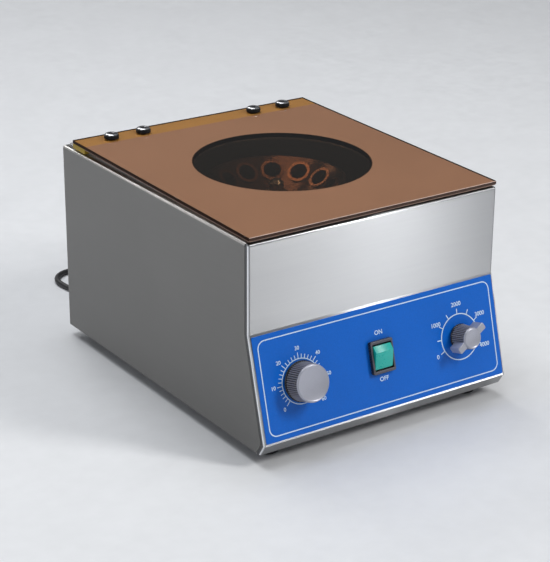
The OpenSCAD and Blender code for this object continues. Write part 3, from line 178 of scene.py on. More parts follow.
class Surface:
    """A node material: its Principled shader, and short ways to add what drives it."""

    def __init__(self, name, roughness=0.5, metallic=0.0):
        self.material = bpy.data.materials.new(name)
        self.material.use_nodes = True
        tree = self.material.node_tree
        self.nodes = tree.nodes
        self.links = tree.links
        self.shader = self.nodes["Principled BSDF"]
        self.output = self.nodes["Material Output"]
        self.shader.inputs["Roughness"].default_value = roughness
        self.shader.inputs["Metallic"].default_value = metallic

    def feed(self, socket, value):
        if isinstance(value, bpy.types.NodeSocket):
            self.links.new(value, socket)
        elif socket.type == "RGBA":
            socket.default_value = (*value, 1)
        else:
            socket.default_value = value

    def add(self, kind, settings=None, inputs=None):
        node = self.nodes.new("ShaderNode" + kind)
        for key, value in (settings or {}).items():
            setattr(node, key, value)
        for key, value in (inputs or {}).items():
            self.feed(node.inputs[key], value)
        return node

    def set(self, **inputs):
        """Feeds the Principled shader: Coat_Weight=0.5 sets its Coat Weight."""
        for key, value in inputs.items():
            self.feed(self.shader.inputs[key.replace("_", " ")], value)
        return self

    def place(self, stretch=(1, 1, 1), turn=(0, 0, 0)):
        coordinates = self.add("TexCoord")
        mapping = self.add("Mapping", inputs={
            "Vector": coordinates.outputs["Object"], "Rotation": turn, "Scale": stretch,
        })
        return mapping.outputs["Vector"]

    def noise(self, vector, scale, detail=3.0, roughness=0.55):
        node = self.add("TexNoise", inputs={
            "Vector": vector, "Scale": scale, "Detail": detail, "Roughness": roughness,
        })
        return node.outputs["Fac"]

    def ramp(self, factor, *stops):
        """Colours along a factor: each stop is a position and a colour."""
        node = self.add("ValToRGB", inputs={"Fac": factor})
        elements = node.color_ramp.elements
        while len(elements) < len(stops):
            elements.new(0.5)
        for element, (position, colour) in zip(elements, stops):
            element.position = position
            element.color = (*colour, 1)
        return node.outputs["Color"]

    def span(self, factor, low, high, start=0.3, end=0.7):
        node = self.add("MapRange", inputs={
            "Value": factor, "From Min": start, "From Max": end, "To Min": low, "To Max": high,
        })
        return node.outputs["Result"]

    def math(self, operation, first, second):
        node = self.add("Math", {"operation": operation})
        self.feed(node.inputs[0], first)
        self.feed(node.inputs[1], second)
        return node.outputs["Value"]

    def bump(self, height, strength, depth=0.0002):
        node = self.add("Bump", inputs={
            "Height": height, "Strength": strength, "Distance": depth,
        })
        self.set(Normal=node.outputs["Normal"])


def grained(name, colour, roughness, metallic=0.0, scale=900, spread=0.1, vary=0.08, relief=0.1,
            stretch=(1, 1, 1)):
    """A surface with fine grain in its colour, shine and relief."""
    s = Surface(name, roughness, metallic)
    where = s.place(stretch)
    fine = s.noise(where, scale)
    broad = s.noise(s.place(), 14, 2)
    mixed = s.math("ADD", s.math("MULTIPLY", fine, 0.65), s.math("MULTIPLY", broad, 0.35))
    s.set(Base_Color=s.ramp(mixed, (0.35, scaled(colour, 1 - spread)),
                            (0.65, scaled(colour, 1 + spread))))
    s.set(Roughness=s.span(mixed, max(0.02, roughness - vary), min(1.0, roughness + vary)))
    s.bump(fine, relief)
    return s


def brushed(name, colour, roughness=0.32, along="X", spread=0.07, scale=1500, smear=0.0, relief=0.12,
            vary=0.07):
    """Brushed sheet: fine long scratches along one axis, and a broad faint unevenness. smear draws
    its reflections out up and down, as level scratches do on an upright face."""
    long_scale = 0.012
    stretch = tuple(long_scale if axis == along else 1 for axis in "XYZ")
    s = Surface(name, roughness, 1.0)
    fine = s.noise(s.place(stretch), scale, 4, 0.7)
    medium = s.noise(s.place(stretch), scale * 0.22, 2)
    broad = s.noise(s.place(), 9, 2)
    streaks = s.math("ADD", s.math("MULTIPLY", fine, 0.6), s.math("MULTIPLY", medium, 0.4))
    tone = s.math("ADD", s.math("MULTIPLY", streaks, 0.75), s.math("MULTIPLY", broad, 0.25))
    s.set(Base_Color=s.ramp(tone, (0.38, scaled(colour, 1 - spread)),
                            (0.62, scaled(colour, 1 + spread))))
    s.set(Roughness=s.span(streaks, roughness - vary, roughness + vary))
    s.set(Anisotropic=smear, Anisotropic_Rotation=0.25)
    s.bump(streaks, relief, 0.00006)
    return s


def turned_metal(name, colour, roughness=0.28, centre=(0, 0, 0), spread=0.08):
    """Metal from a lathe: fine rings round a vertical axis through centre."""
    s = Surface(name, roughness, 1.0)
    coordinates = s.add("TexCoord")
    moved = s.add("VectorMath", {"operation": "SUBTRACT"}, {0: coordinates.outputs["Object"]})
    moved.inputs[1].default_value = centre
    level = s.add("VectorMath", {"operation": "MULTIPLY"}, {0: moved.outputs["Vector"]})
    level.inputs[1].default_value = (1, 1, 0)
    radius = s.add("VectorMath", {"operation": "LENGTH"}, {0: level.outputs["Vector"]})
    rings = s.add("TexNoise", {"noise_dimensions": "1D"}, {
        "W": radius.outputs["Value"], "Scale": 2600.0, "Detail": 3.0,
    }).outputs["Fac"]
    stain = s.noise(s.place(), 30, 2)
    tone = s.math("ADD", s.math("MULTIPLY", rings, 0.7), s.math("MULTIPLY", stain, 0.3))
    s.set(Base_Color=s.ramp(tone, (0.35, scaled(colour, 1 - spread)),
                            (0.65, scaled(colour, 1 + spread))))
    s.set(Roughness=s.span(tone, roughness - 0.06, roughness + 0.08))
    s.bump(rings, 0.15, 0.00008)
    return s


def amber_acrylic(name, tint, haze=0.03):
    """Clear tinted sheet. Light passes it straight, tinted once at each face, and its faces mirror more
    at a flat angle."""
    s = Surface(name)
    s.nodes.remove(s.shader)
    clouds = s.noise(s.place(), 6, 2)
    clear = s.add("BsdfTransparent", inputs={
        "Color": s.ramp(clouds, (0.3, tint), (0.7, scaled(tint, 0.97))),
    })
    scratches = s.noise(s.place((1, 0.2, 1)), 160, 5, 0.7)
    gloss = s.add("BsdfAnisotropic", inputs={
        "Color": (1, 1, 1), "Roughness": s.span(scratches, haze, haze + 0.05),
    })
    facing = s.add("LayerWeight", inputs={"Blend": 0.5}).outputs["Facing"]
    mirror = s.math("MULTIPLY_ADD", s.math("POWER", facing, 5.0), 0.96)
    mirror.node.inputs[2].default_value = 0.04
    mix = s.add("MixShader", inputs={"Fac": mirror})
    s.links.new(clear.outputs["BSDF"], mix.inputs[1])
    s.links.new(gloss.outputs["BSDF"], mix.inputs[2])
    s.links.new(mix.outputs["Shader"], s.output.inputs["Surface"])
    return s


def painted_light_by_tilt(s, axis, *stops):
    """Multiplies a surface's colour by a grey that follows how far the surface faces along an axis,
    painting highlights and shade onto folds and faces by which way they turn."""
    colour = s.shader.inputs["Base Color"].links[0].from_socket
    normal = s.add("NewGeometry").outputs["Normal"]
    lean = s.add("SeparateXYZ", inputs={"Vector": normal}).outputs[axis]
    painted_tones = s.ramp(s.math("ABSOLUTE", lean, 0.0), *[(place, (v, v, v)) for place, v in stops])
    mix = s.add("Mix", {"data_type": "RGBA", "blend_type": "MULTIPLY"})
    # The node has sockets for each kind of data, so its colours are found by number
    first_colour, second_colour, mixed_colour = mix.inputs[6], mix.inputs[7], mix.outputs[2]
    s.feed(mix.inputs["Factor"], 1.0)
    s.feed(first_colour, colour)
    s.feed(second_colour, painted_tones)
    return s.set(Base_Color=mixed_colour)


def side_steel():
    """Brushed sheet with painted shade on its upright faces and a painted highlight where it bends over at
    the top.
    """
    s = brushed("side_steel", (0.7, 0.69, 0.67), 0.36, "Y", 0.05, smear=0.9)
    return painted_light_by_tilt(s, "Z", (0.1, 0.31), (0.5, 1.0))


def front_steel():
    """Bright brushed sheet whose colour follows which way each face turns: painted highlights on the folds
    at its sides with a painted dark line beside them, painted shade on the faces that turn to the sides and
    on its folds at the top and the bottom, and the flat front toned to about a third of its folds."""
    s = brushed("front_steel", (0.94, 0.955, 0.99), 0.31, "X", 0.02, smear=1.0, relief=0.04, vary=0.03)
    painted_light_by_tilt(s, "Y", (0.85, 1.0), (0.955, 0.36), (0.99, 0.37))
    painted_light_by_tilt(s, "Z", (0.3, 1.0), (0.6, 0.16))
    return painted_light_by_tilt(s, "X", (0.1, 1.0), (0.2, 0.5), (0.4, 1.0), (0.8, 1.0), (0.94, 0.15))


ZINC = (0.66, 0.66, 0.68)
CHAMBER_CENTRE = in_housing(0, CHAMBER_Y, 0).translation


def blue_paint():
    s = grained("blue_paint", srgb(4, 102, 206), 0.34, scale=700, spread=0.05, vary=0.05, relief=0.05)
    return s.set(Specular_IOR_Level=0.3, Coat_Weight=0.06, Coat_Roughness=0.3)


def amber_edge():
    """Polished front edge of the lid, seen through the depth of its tint."""
    s = grained("amber_edge", (0.05, 0.024, 0.016), 0.2, scale=600, spread=0.15, relief=0.05)
    return s.set(Specular_IOR_Level=0.22)


def green_rocker():
    s = grained("green_rocker", srgb(20, 182, 170), 0.3, scale=500, spread=0.06, relief=0.03)
    s.set(Subsurface_Weight=0.25, Subsurface_Scale=0.002, Subsurface_Radius=(0.4, 1, 0.8))
    return s.set(Coat_Weight=0.2, Coat_Roughness=0.25)


def mains_sheath():
    return grained("mains_sheath", (0.022, 0.022, 0.024), 0.48, scale=1200, spread=0.2, relief=0.15)


def strap():
    """Woven strip: fine ribs across its width."""
    s = Surface("strap", 0.8)
    weave = s.add("TexWave", {"bands_direction": "X"}, {
        "Vector": s.place(), "Scale": 500.0, "Distortion": 1.0,
    }).outputs["Fac"]
    s.set(Base_Color=s.ramp(weave, (0.2, (0.02, 0.02, 0.022)), (0.8, (0.055, 0.055, 0.06))))
    s.bump(weave, 0.5, 0.0003)
    return s


def circuit_green():
    """Solder mask with copper tracks under it and pale dots."""
    s = Surface("circuit_green", 0.35)
    tracks = s.add("TexBrick", inputs={
        "Vector": s.place(), "Scale": 160.0, "Mortar Size": 0.12, "Color1": (0.02, 0.16, 0.06),
        "Color2": (0.02, 0.2, 0.075), "Mortar": (0.05, 0.32, 0.13),
    })
    s.set(Base_Color=tracks.outputs["Color"])
    s.set(Roughness=s.span(s.noise(s.place(), 300), 0.25, 0.45))
    s.bump(tracks.outputs["Fac"], 0.2, 0.0001)
    return s


def windings():
    """Enamelled copper wire, turn beside turn."""
    s = Surface("windings", 0.3, 0.9)
    turns = s.add("TexWave", {"bands_direction": "Z"}, {
        "Vector": s.place(), "Scale": 420.0, "Distortion": 2.0, "Detail": 2.0,
    }).outputs["Fac"]
    s.set(Base_Color=s.ramp(turns, (0.1, (0.22, 0.07, 0.03)), (0.9, (0.72, 0.3, 0.14))))
    s.bump(turns, 0.8, 0.0004)
    return s


def laminated():
    """Stacked steel sheets, seen on edge."""
    s = Surface("laminated", 0.4, 0.9)
    sheets = s.add("TexWave", {"bands_direction": "Z"}, {
        "Vector": s.place(), "Scale": 320.0, "Distortion": 0.4,
    }).outputs["Fac"]
    s.set(Base_Color=s.ramp(sheets, (0.2, (0.12, 0.12, 0.13)), (0.8, (0.34, 0.34, 0.36))))
    s.bump(sheets, 0.6, 0.0003)
    return s


MATERIALS = {
    "side_steel": side_steel(),
    "front_steel": front_steel(),
    "rear_steel": brushed("rear_steel", (0.44, 0.44, 0.45), 0.36, "X", 0.05, smear=0.8),
    "base_steel": brushed("base_steel", (0.5, 0.5, 0.51), 0.42, "Y"),
    "deck_steel": brushed("deck_steel", (0.66, 0.66, 0.67), 0.33, "X"),
    "hinge_steel": brushed("hinge_steel", (0.7, 0.7, 0.71), 0.26, "X"),
    "bowl_steel": turned_metal("bowl_steel", (0.04, 0.04, 0.045), 0.38, CHAMBER_CENTRE),
    "zinc": grained("zinc", ZINC, 0.3, 1.0, scale=1500, spread=0.12, relief=0.1),
    "chrome": grained("chrome", (0.52, 0.52, 0.54), 0.2, 1.0, scale=900, spread=0.04, vary=0.03,
                      relief=0.02),
    "plain_steel": turned_metal("plain_steel", ZINC, 0.3, CHAMBER_CENTRE),
    "dull_steel": turned_metal("dull_steel", (0.16, 0.14, 0.12), 0.3, CHAMBER_CENTRE),
    "cast": grained("cast", (0.5, 0.5, 0.52), 0.5, 0.85, scale=420, spread=0.18, relief=0.6),
    "shell_paint": grained("shell_paint", (0.035, 0.037, 0.043), 0.42, scale=260, spread=0.2, relief=0.4),
    # Painted glints: the rotor and its sleeves are tinted warm brown, beyond the lid's amber, so their
    # highlights show orange
    "rotor_warm_glint_tint": turned_metal("rotor_warm_glint_tint", (0.05, 0.025, 0.016), 0.2, CHAMBER_CENTRE, 0.15),
    "sleeve_warm_glint_tint": grained("sleeve_warm_glint_tint", (0.12, 0.052, 0.026), 0.22, 0.9, scale=700, spread=0.2),
    "rubber": grained("rubber", (0.028, 0.028, 0.03), 0.75, scale=700, spread=0.3, relief=0.4),
    "sheath": mains_sheath(),
    "black_gloss": grained("black_gloss", (0.022, 0.022, 0.025), 0.26, scale=900, spread=0.15, relief=0.06),
    "black_matte": grained("black_matte", (0.03, 0.03, 0.033), 0.55, scale=600, spread=0.2, relief=0.35),
    "cream": grained("cream", srgb(214, 208, 190), 0.5, scale=500, spread=0.05, relief=0.15),
    "phenolic": grained("phenolic", (0.16, 0.085, 0.045), 0.5, scale=500, spread=0.15, relief=0.2),
    "carbon": grained("carbon", (0.03, 0.03, 0.032), 0.6, 0.2, scale=900, spread=0.3, relief=0.3),
    "brass": grained("brass", (0.7, 0.55, 0.28), 0.28, 1.0, scale=900, spread=0.12, relief=0.08),
    "blue": blue_paint(),
    "white_ink": grained("white_ink", (0.66, 0.82, 0.95), 0.5, scale=1800, spread=0.04, relief=0.15),
    "green": green_rocker(),
    "cap_silver": grained("cap_silver", srgb(176, 178, 190), 0.34, 0.35, scale=1600, spread=0.05,
                          relief=0.06),
    "knob_grey": grained("knob_grey", srgb(158, 153, 152), 0.36, 0.2, scale=900, spread=0.08, relief=0.1),
    # Painted shade for the grooves between a knob's ribs, which are the same plastic as the ribs
    "groove_grey": grained("groove_grey", (0.02, 0.02, 0.022), 0.5, scale=900, spread=0.15, relief=0.1),
    # Painted sheen: the bezel's outward faces are drawn lighter grey than the rest of its black plastic
    "bezel_grey": grained("bezel_grey", srgb(84, 83, 92), 0.34, scale=900, spread=0.08, relief=0.1),
    "backing": grained("backing", (0.345, 0.213, 0.155), 0.55, scale=300, spread=0.05, relief=0.12),
    "rail_yellow": grained("rail_yellow", (0.4, 0.27, 0.025), 0.5, scale=350, spread=0.08,
                           relief=0.15).set(Specular_IOR_Level=0.3),
    "film_ochre": grained("film_ochre", (0.46, 0.272, 0.078), 0.45, scale=350, spread=0.06, relief=0.1),
    "washer_black": grained("washer_black", (0.008, 0.008, 0.009), 0.35, scale=900, spread=0.2,
                            relief=0.06).set(Specular_IOR_Level=0.2),
    "amber": amber_acrylic("amber", (0.894, 0.79, 0.68)),
    "amber_edge": amber_edge(),
    # Painted shade: the side edges of the acrylic, and the window's rim, are drawn darker than its front
    # and rear edges
    "amber_side": grained("amber_side", (0.022, 0.009, 0.005), 0.55, scale=600, spread=0.15,
                          relief=0.05).set(Specular_IOR_Level=0.05),
    # Painted highlight: a pale line along the front top rim of the acrylic
    "amber_rim": grained("amber_rim", (0.62, 0.46, 0.4), 0.4, scale=600, spread=0.1, relief=0.05),
    "strap": strap(),
    "circuit": circuit_green(),
    "windings": windings(),
    "laminated": laminated(),
}

NODE_LOOKS = {
    "side_steel": ["left_side_panel", "right_side_panel"],
    "front_steel": ["front_panel"],
    "rear_steel": ["rear_panel"],
    "base_steel": ["base_plate", "motor_plate"],
    "deck_steel": ["top_deck"],
    "hinge_steel": ["hinge_fixed_leaves", "hinge_lid_leaves"],
    "bowl_steel": ["chamber_bowl"],
    "zinc": ["foot_screws", "base_screws", "rear_screws", "isolator_studs", "tie_bolts", "hinge_screws",
             "control_nuts", "timer_case", "timer_spindle", "speed_spindle"],
    "chrome": ["lid_screws", "ball_bearings"],
    "plain_steel": ["pillars", "motor_shaft"],
    "dull_steel": ["rotor_nut"],
    "cast": ["motor_end_bells"],
    "shell_paint": ["motor_shell"],
    "rotor_warm_glint_tint": ["rotor"],
    "sleeve_warm_glint_tint": ["tube_sleeves"],
    "rubber": ["feet", "mouth_trim", "shaft_seal", "rubber_isolators"],
    "sheath": ["strain_relief", "lead", "lead_coil", "wiring"],
    "black_gloss": ["switch_body", "fuse_holder", "plug_body"],
    "black_matte": ["cooling_fan", "board_parts"],
    "cream": ["terminal_block"],
    "phenolic": ["brush_holders", "speed_control"],
    "carbon": ["carbon_brushes"],
    "brass": ["switch_terminals", "plug_pins"],
    "blue": ["control_plate"],
    "green": ["switch_rocker"],
    "knob_grey": ["timer_knob", "speed_knob"],
    "backing": ["lid_backing"],
    "rail_yellow": ["hinge_rail"],
    "amber": ["lid_plate"],
    "strap": ["coil_tie"],
    "circuit": ["circuit_board"],
    "windings": ["field_coils"],
    "laminated": ["stator_core", "armature"],
}


def dress_nodes():
    """Gives every CAD node its material."""
    for look, names in NODE_LOOKS.items():
        for name in names:
            slots = nodes[name].material_slots
            for slot in slots:
                slot.material = MATERIALS[look].material
            if not slots:
                nodes[name].data.materials.append(MATERIALS[look].material)


dress_nodes()


# Mesh tools

SHARP = math.radians(32)
# How far the strokes of letters are thickened
STROKE = 0.08


def finish_mesh(bm, name, level_faces=False):
    """A mesh with outward normals, smooth but for its sharp edges and, if asked, its level faces."""
    bmesh.ops.remove_doubles(bm, verts=bm.verts, dist=0.001)
    bmesh.ops.dissolve_degenerate(bm, edges=bm.edges, dist=0.0005)
    bmesh.ops.recalc_face_normals(bm, faces=bm.faces)
    for face in bm.faces:
        face.smooth = not (level_faces and abs(face.normal.z) > 0.99)
    for edge in bm.edges:
        edge.smooth = len(edge.link_faces) == 2 and edge.calc_face_angle() < SHARP
    mesh = bpy.data.meshes.new(name)
    bm.to_mesh(mesh)
    bm.free()
    return mesh


def add_piece(name, meshes, body, looks, replaces=()):
    """Joins meshes, each with its place matrix and the number of its look, into one piece."""
    bm = bmesh.new()
    for mesh, place, look in meshes:
        start = len(bm.faces)
        bm.from_mesh(mesh)
        bm.faces.ensure_lookup_table()
        faces = bm.faces[start:]
        verts = {v for f in faces for v in f.verts}
        bmesh.ops.transform(bm, matrix=place, verts=list(verts))
        if look is not None:
            for face in faces:
                face.material_index = look
    data = bpy.data.meshes.new(name)
    bm.to_mesh(data)
    bm.free()
    for look in looks:
        data.materials.append(MATERIALS[look].material)
    piece = bpy.data.objects.new(name, data)
    bpy.context.scene.collection.objects.link(piece)
    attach(piece, body)
    if replaces:
        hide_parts(*replaces)
    return piece


def turned(profile, steps=64, wobble=None):
    """A lathe mesh of (radius, height) points. wobble(i, angle) scales the radius of point i."""
    bm = bmesh.new()
    rings = []
    for i, (radius, height) in enumerate(profile):
        ring = []
        for k in range(steps):
            angle = 2 * math.pi * k / steps
            r = radius * (wobble(i, angle) if wobble else 1)
            ring.append(bm.verts.new((r * math.cos(angle), r * math.sin(angle), height)))
        rings.append(ring)
    for low, high in zip(rings, rings[1:]):
        for k in range(steps):
            m = (k + 1) % steps
            bm.faces.new((low[k], low[m], high[m], high[k]))
    return finish_mesh(bm, "turned")


def rounded_box(width, height, r, steps=6, x=0, y=0):
    """Outline of a rectangle with round corners, centred on x, y."""
    points = []
    corners = ((1, 1, 0), (-1, 1, 90), (-1, -1, 180), (1, -1, 270))
    for sx, sy, start in corners:
        for i in range(steps + 1):
            a = math.radians(start + 90 * i / steps)
            points.append((
                x + sx * (width / 2 - r) + r * math.cos(a),
                y + sy * (height / 2 - r) + r * math.sin(a),
            ))
    return points


def circle(r, steps=64, x=0, y=0):
    turn = 2 * math.pi / steps
    return [(x + r * math.cos(k * turn), y + r * math.sin(k * turn)) for k in range(steps)]


def mesh_of_curve(curve):
    """The mesh that a curve or text makes."""
    holder = bpy.data.objects.new(curve.name, curve)
    bpy.context.scene.collection.objects.link(holder)
    graph = bpy.context.evaluated_depsgraph_get()
    made = bpy.data.meshes.new_from_object(holder.evaluated_get(graph))
    bpy.data.objects.remove(holder)
    bm = bmesh.new()
    bm.from_mesh(made)
    return finish_mesh(bm, curve.name, level_faces=True)


def flat(outlines, thick, bevel=0.0, bevel_steps=2):
    """A flat solid from closed outlines, the first round the others, with rounded rims. Z runs from 0."""
    curve = bpy.data.curves.new("flat", "CURVE")
    curve.dimensions = "2D"
    curve.fill_mode = "BOTH"
    curve.extrude = thick / 2 - bevel
    curve.bevel_depth = bevel
    curve.bevel_resolution = bevel_steps
    curve.offset = -bevel
    for outline in outlines:
        spline = curve.splines.new("POLY")
        spline.points.add(len(outline) - 1)
        for point, (x, y) in zip(spline.points, outline):
            point.co = (x, y, 0, 1)
        spline.use_cyclic_u = True
    mesh = mesh_of_curve(curve)
    mesh.transform(Matrix.Translation((0, 0, thick / 2)))
    return mesh


def lettering(text, size, x, y, thick):
    """Raised letters, centred on x, y."""
    curve = bpy.data.curves.new("lettering", "FONT")
    curve.body = text
    curve.size = size
    curve.align_x = "CENTER"
    curve.align_y = "CENTER"
    curve.extrude = thick / 2
    curve.offset = STROKE
    curve.resolution_u = 4
    mesh = mesh_of_curve(curve)
    mesh.transform(Matrix.Translation((x, y, thick / 2)))
    return mesh


def lofted(sections):
    """A closed mesh through rings of points, one after another, with flat ends."""
    bm = bmesh.new()
    rings = [[bm.verts.new(p) for p in section] for section in sections]
    for low, high in zip(rings, rings[1:]):
        for k in range(len(low)):
            m = (k + 1) % len(low)
            bm.faces.new((low[k], low[m], high[m], high[k]))
    bm.faces.new(rings[0])
    bm.faces.new(rings[-1])
    return finish_mesh(bm, "lofted")


# The mains lead, on the route that part.scad gives it

COIL_CENTRE = (26, 81)
COIL_IN = 24.3
COIL_PITCH = 6.5
COIL_TURNS = 3
COIL_Z = 3.9
COIL_LAYER = 6.5
COIL_POINTS = 36
EXIT_H = FOOT_MM + GLAND[1]
LIE_H = 3.1
LEAD_POINTS = [
    (-70, 35, EXIT_H), (-70, 43, EXIT_H), (-70.5, 52, EXIT_H * 0.93),
    (-72, 62, EXIT_H * 0.74), (-74.5, 72, EXIT_H * 0.47), (-78, 82, EXIT_H * 0.25),
    (-81.5, 93, EXIT_H * 0.12), (-84.5, 105, LIE_H), (-86, 117, LIE_H), (-85.5, 128, LIE_H),
    (-81.5, 138, LIE_H), (-74, 145.5, LIE_H), (-64, 149, LIE_H), (-53, 149, LIE_H),
    (-42, 146.5, LIE_H), (-31, 142, LIE_H), (-20, 136.5, LIE_H), (-8, 130.5, 3.4),
    (4, 126, 3.7), (15, 124.4, COIL_Z), (26, 124.8, COIL_Z),
]
TAIL_POINTS = [
    (26, 124.8, COIL_Z + COIL_LAYER), (37, 124.4, 10.2), (48, 123, 8.6), (59, 120.6, 5.6),
    (70, 117.8, 3.4), (81, 115.4, 3.6), (91, 114, 6), (100, 113.4, 9), (107, 113.4, 10.5),
    (111, 113.4, 10.5),
]
PLUG_PLACE = TAIL_POINTS[-1]
# Sections along the plug: place, half depth, half width, and how square the section is, 1 being round
PLUG_SECTIONS = (
    (0, 4.2, 4.2, 1.0), (2, 4.4, 4.4, 1.0), (7, 5.6, 5.6, 0.9), (12, 8, 9, 0.7), (15, 9.6, 13.5, 0.5),
    (18, 10.1, 15.8, 0.4), (22, 10.2, 16.4, 0.36), (24, 9.6, 15.8, 0.36), (26, 10.2, 16.4, 0.36),
    (28, 9.6, 15.8, 0.36), (30, 10.3, 16.6, 0.34), (37, 10.5, 17, 0.32), (39, 10.4, 16.9, 0.32),
    (40, 9.7, 16.2, 0.32),
)


def smooth(points, steps):
    """More points on a smooth line through the given ones."""
    line = []
    last = len(points) - 1
    for i in range(last):
        a, b, c, d = (
            Vector(points[k]) for k in (max(i - 1, 0), i, i + 1, min(i + 2, last))
        )
        for j in range(steps):
            t = j / steps
            line.append(0.5 * (
                2 * b + (c - a) * t + (2 * a - 5 * b + 4 * c - d) * t * t
                + (3 * b - a - 3 * c + d) * t ** 3
            ))
    return line + [Vector(points[last])]


def coil_point(turns):
    """The coil winds in along the table and out again on top of itself."""
    radius = COIL_IN + COIL_PITCH * abs(COIL_TURNS - turns)
    angle = math.radians(90 - 360 * turns)
    past = turns - COIL_TURNS
    climb = 0 if past < -0.25 else 1 if past > 0.25 else (1 + math.sin(2 * math.pi * past)) / 2
    return Vector((
        COIL_CENTRE[0] + radius * math.cos(angle),
        COIL_CENTRE[1] + radius * math.sin(angle),
        COIL_Z + COIL_LAYER * climb,
    ))


def make_lead():
    coil = [coil_point(i / COIL_POINTS) for i in range(1, 2 * COIL_TURNS * COIL_POINTS)]
    route = smooth(LEAD_POINTS, 4) + coil + smooth(TAIL_POINTS, 4)
    curve = bpy.data.curves.new("mains_lead", "CURVE")
    curve.dimensions = "3D"
    curve.bevel_depth = LEAD_R * MM
    curve.bevel_resolution = 4
    curve.use_fill_caps = True
    spline = curve.splines.new("POLY")
    spline.points.add(len(route) - 1)
    for point, place in zip(spline.points, route):
        point.co = (*on_table(*place), 1)
    spline.use_smooth = True
    curve.materials.append(MATERIALS["sheath"].material)
    lead = bpy.data.objects.new("mains_lead", curve)
    bpy.context.scene.collection.objects.link(lead)
    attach(lead, "housing")
    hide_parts("lead", "lead_coil")
    return lead


def make_plug():
    """Moulded plug: a round neck that swells into a body with soft edges and finger grooves."""
    around = 48
    sections = []
    for x, deep, wide, power in PLUG_SECTIONS:
        ring = []
        for k in range(around):
            a = 2 * math.pi * k / around
            c, s = math.cos(a), math.sin(a)
            ring.append((
                x, math.copysign(abs(c) ** power, c) * wide, math.copysign(abs(s) ** power, s) * deep
            ))
        sections.append(ring)
    place = Matrix.Translation(on_table(*PLUG_PLACE)) @ Matrix.Scale(MM, 4)
    return add_piece("plug_moulding", [(lofted(sections), place, 0)], "housing", ["black_gloss"],
                     ["plug_body"])


lead = make_lead()
plug = make_plug()


def make_strain_relief():
    """Tapered sleeve with the ribs of a flexible strain relief."""
    profile = [(3.1, -8), (6, -8), (6, -1.2), (8.6, -1.2), (9, -0.8), (9, 1.2), (8.6, 2), (7.2, 3)]
    ribs = 9
    pitch = 3.2
    taper = 0.27
    for i in range(ribs):
        z = 4.5 + i * pitch
        r = 7 - taper * i
        profile += [(r - 0.9, z - 0.9), (r - 0.9, z - 0.3), (r, z), (r, z + 1.5), (r - 0.4, z + 1.9)]
    profile += [(4.3, GLAND_L - 1), (3.8, GLAND_L), (3.1, GLAND_L), (3.1, -8)]
    place = in_housing(GLAND[0], BODY_D, GLAND[1]) @ Matrix.Rotation(math.radians(-90), 4, "X")
    add_piece("strain_relief_sleeve", [(turned(profile, 40), place, 0)], "housing", ["rubber"],
              ["strain_relief"])


make_strain_relief()


# Housing

def make_corner_welds():
    """Ground round corners where the folds of the sheets meet at the top."""
    steps = 6
    bm = bmesh.new()
    grid = []
    for i in range(steps + 1):
        up = math.radians(90 * i / steps)
        row = []
        for k in range(steps + 1):
            a = math.radians(90 * k / steps)
            row.append(bm.verts.new((
                BEND_R * math.cos(up) * math.cos(a), BEND_R * math.cos(up) * math.sin(a),
                BEND_R * math.sin(up),
            )))
        grid.append(row)
    centre = bm.verts.new((0, 0, 0))
    for i in range(steps):
        for k in range(steps):
            bm.faces.new((grid[i][k], grid[i][k + 1], grid[i + 1][k + 1], grid[i + 1][k]))
        bm.faces.new((centre, grid[i][0], grid[i + 1][0]))
        bm.faces.new((centre, grid[i + 1][steps], grid[i][steps]))
        bm.faces.new((centre, grid[0][i + 1], grid[0][i]))
    octant = finish_mesh(bm, "octant")
    edge = half_w - BEND_R
    top = BODY_H - BEND_R
    places = {
        "front": (BEND_R, {-1: 180, 1: 270}, "front_steel", "front_panel"),
        "rear": (BODY_D - BEND_R, {-1: 90, 1: 0}, "side_steel", "left_side_panel"),
    }
    for end, (y, turns, look, slot) in places.items():
        meshes = [
            (octant, in_housing(side * edge, y, top) @ Matrix.Rotation(math.radians(turn), 4, "Z"), 0)
            for side, turn in turns.items()
        ]
        add_piece(end + "_corner_welds", meshes, "housing", [look])


make_corner_welds()


# Marks on the blue plate

INK_SINK = 0.03
INK_T = 0.11
BORDER_IN = 4.6
BORDER_W = 1.0
BORDER_R = 8.0
BIG_DIGIT = 5.8
SMALL_DIGIT = 5.0
# Degrees, anticlockwise from the right: where each scale starts, and from one tick to the next
TIMER_START = 225
TIMER_TICK = 9
SPEED_START = 206
SPEED_TICK = 29


def ink_place(x, down):
    return on_panel(x, down, PLATE_T - INK_SINK)


def ring_mark(radius, width):
    return flat([circle(radius + width / 2, 96), circle(radius - width / 2, 96)], INK_T)


def tick_mark(angle, start, end, width):
    a = math.radians(angle)
    along = Vector((math.cos(a), math.sin(a)))
    side = Vector((-along.y, along.x)) * width / 2
    corners = (along * start - side, along * end - side, along * end + side, along * start + side)
    return flat([[tuple(c) for c in corners]], INK_T)


def number_mark(text, angle, radius, size):
    a = math.radians(angle)
    return lettering(text, size, radius * math.cos(a), radius * math.sin(a), INK_T)


def make_border():
    wide = 2 * half_w - 2 * PLATE_SIDE - 2 * BORDER_IN
    high = panel_l - PLATE_TOP - PLATE_FOOT - 2 * BORDER_IN
    line = flat([
        rounded_box(wide, high, BORDER_R, 10),
        rounded_box(wide - 2 * BORDER_W, high - 2 * BORDER_W, BORDER_R - BORDER_W, 10),
    ], INK_T)
    middle = PLATE_TOP + (panel_l - PLATE_TOP - PLATE_FOOT) / 2
    add_piece("panel_border", [(line, ink_place(0, middle), 0)], "housing", ["white_ink"])


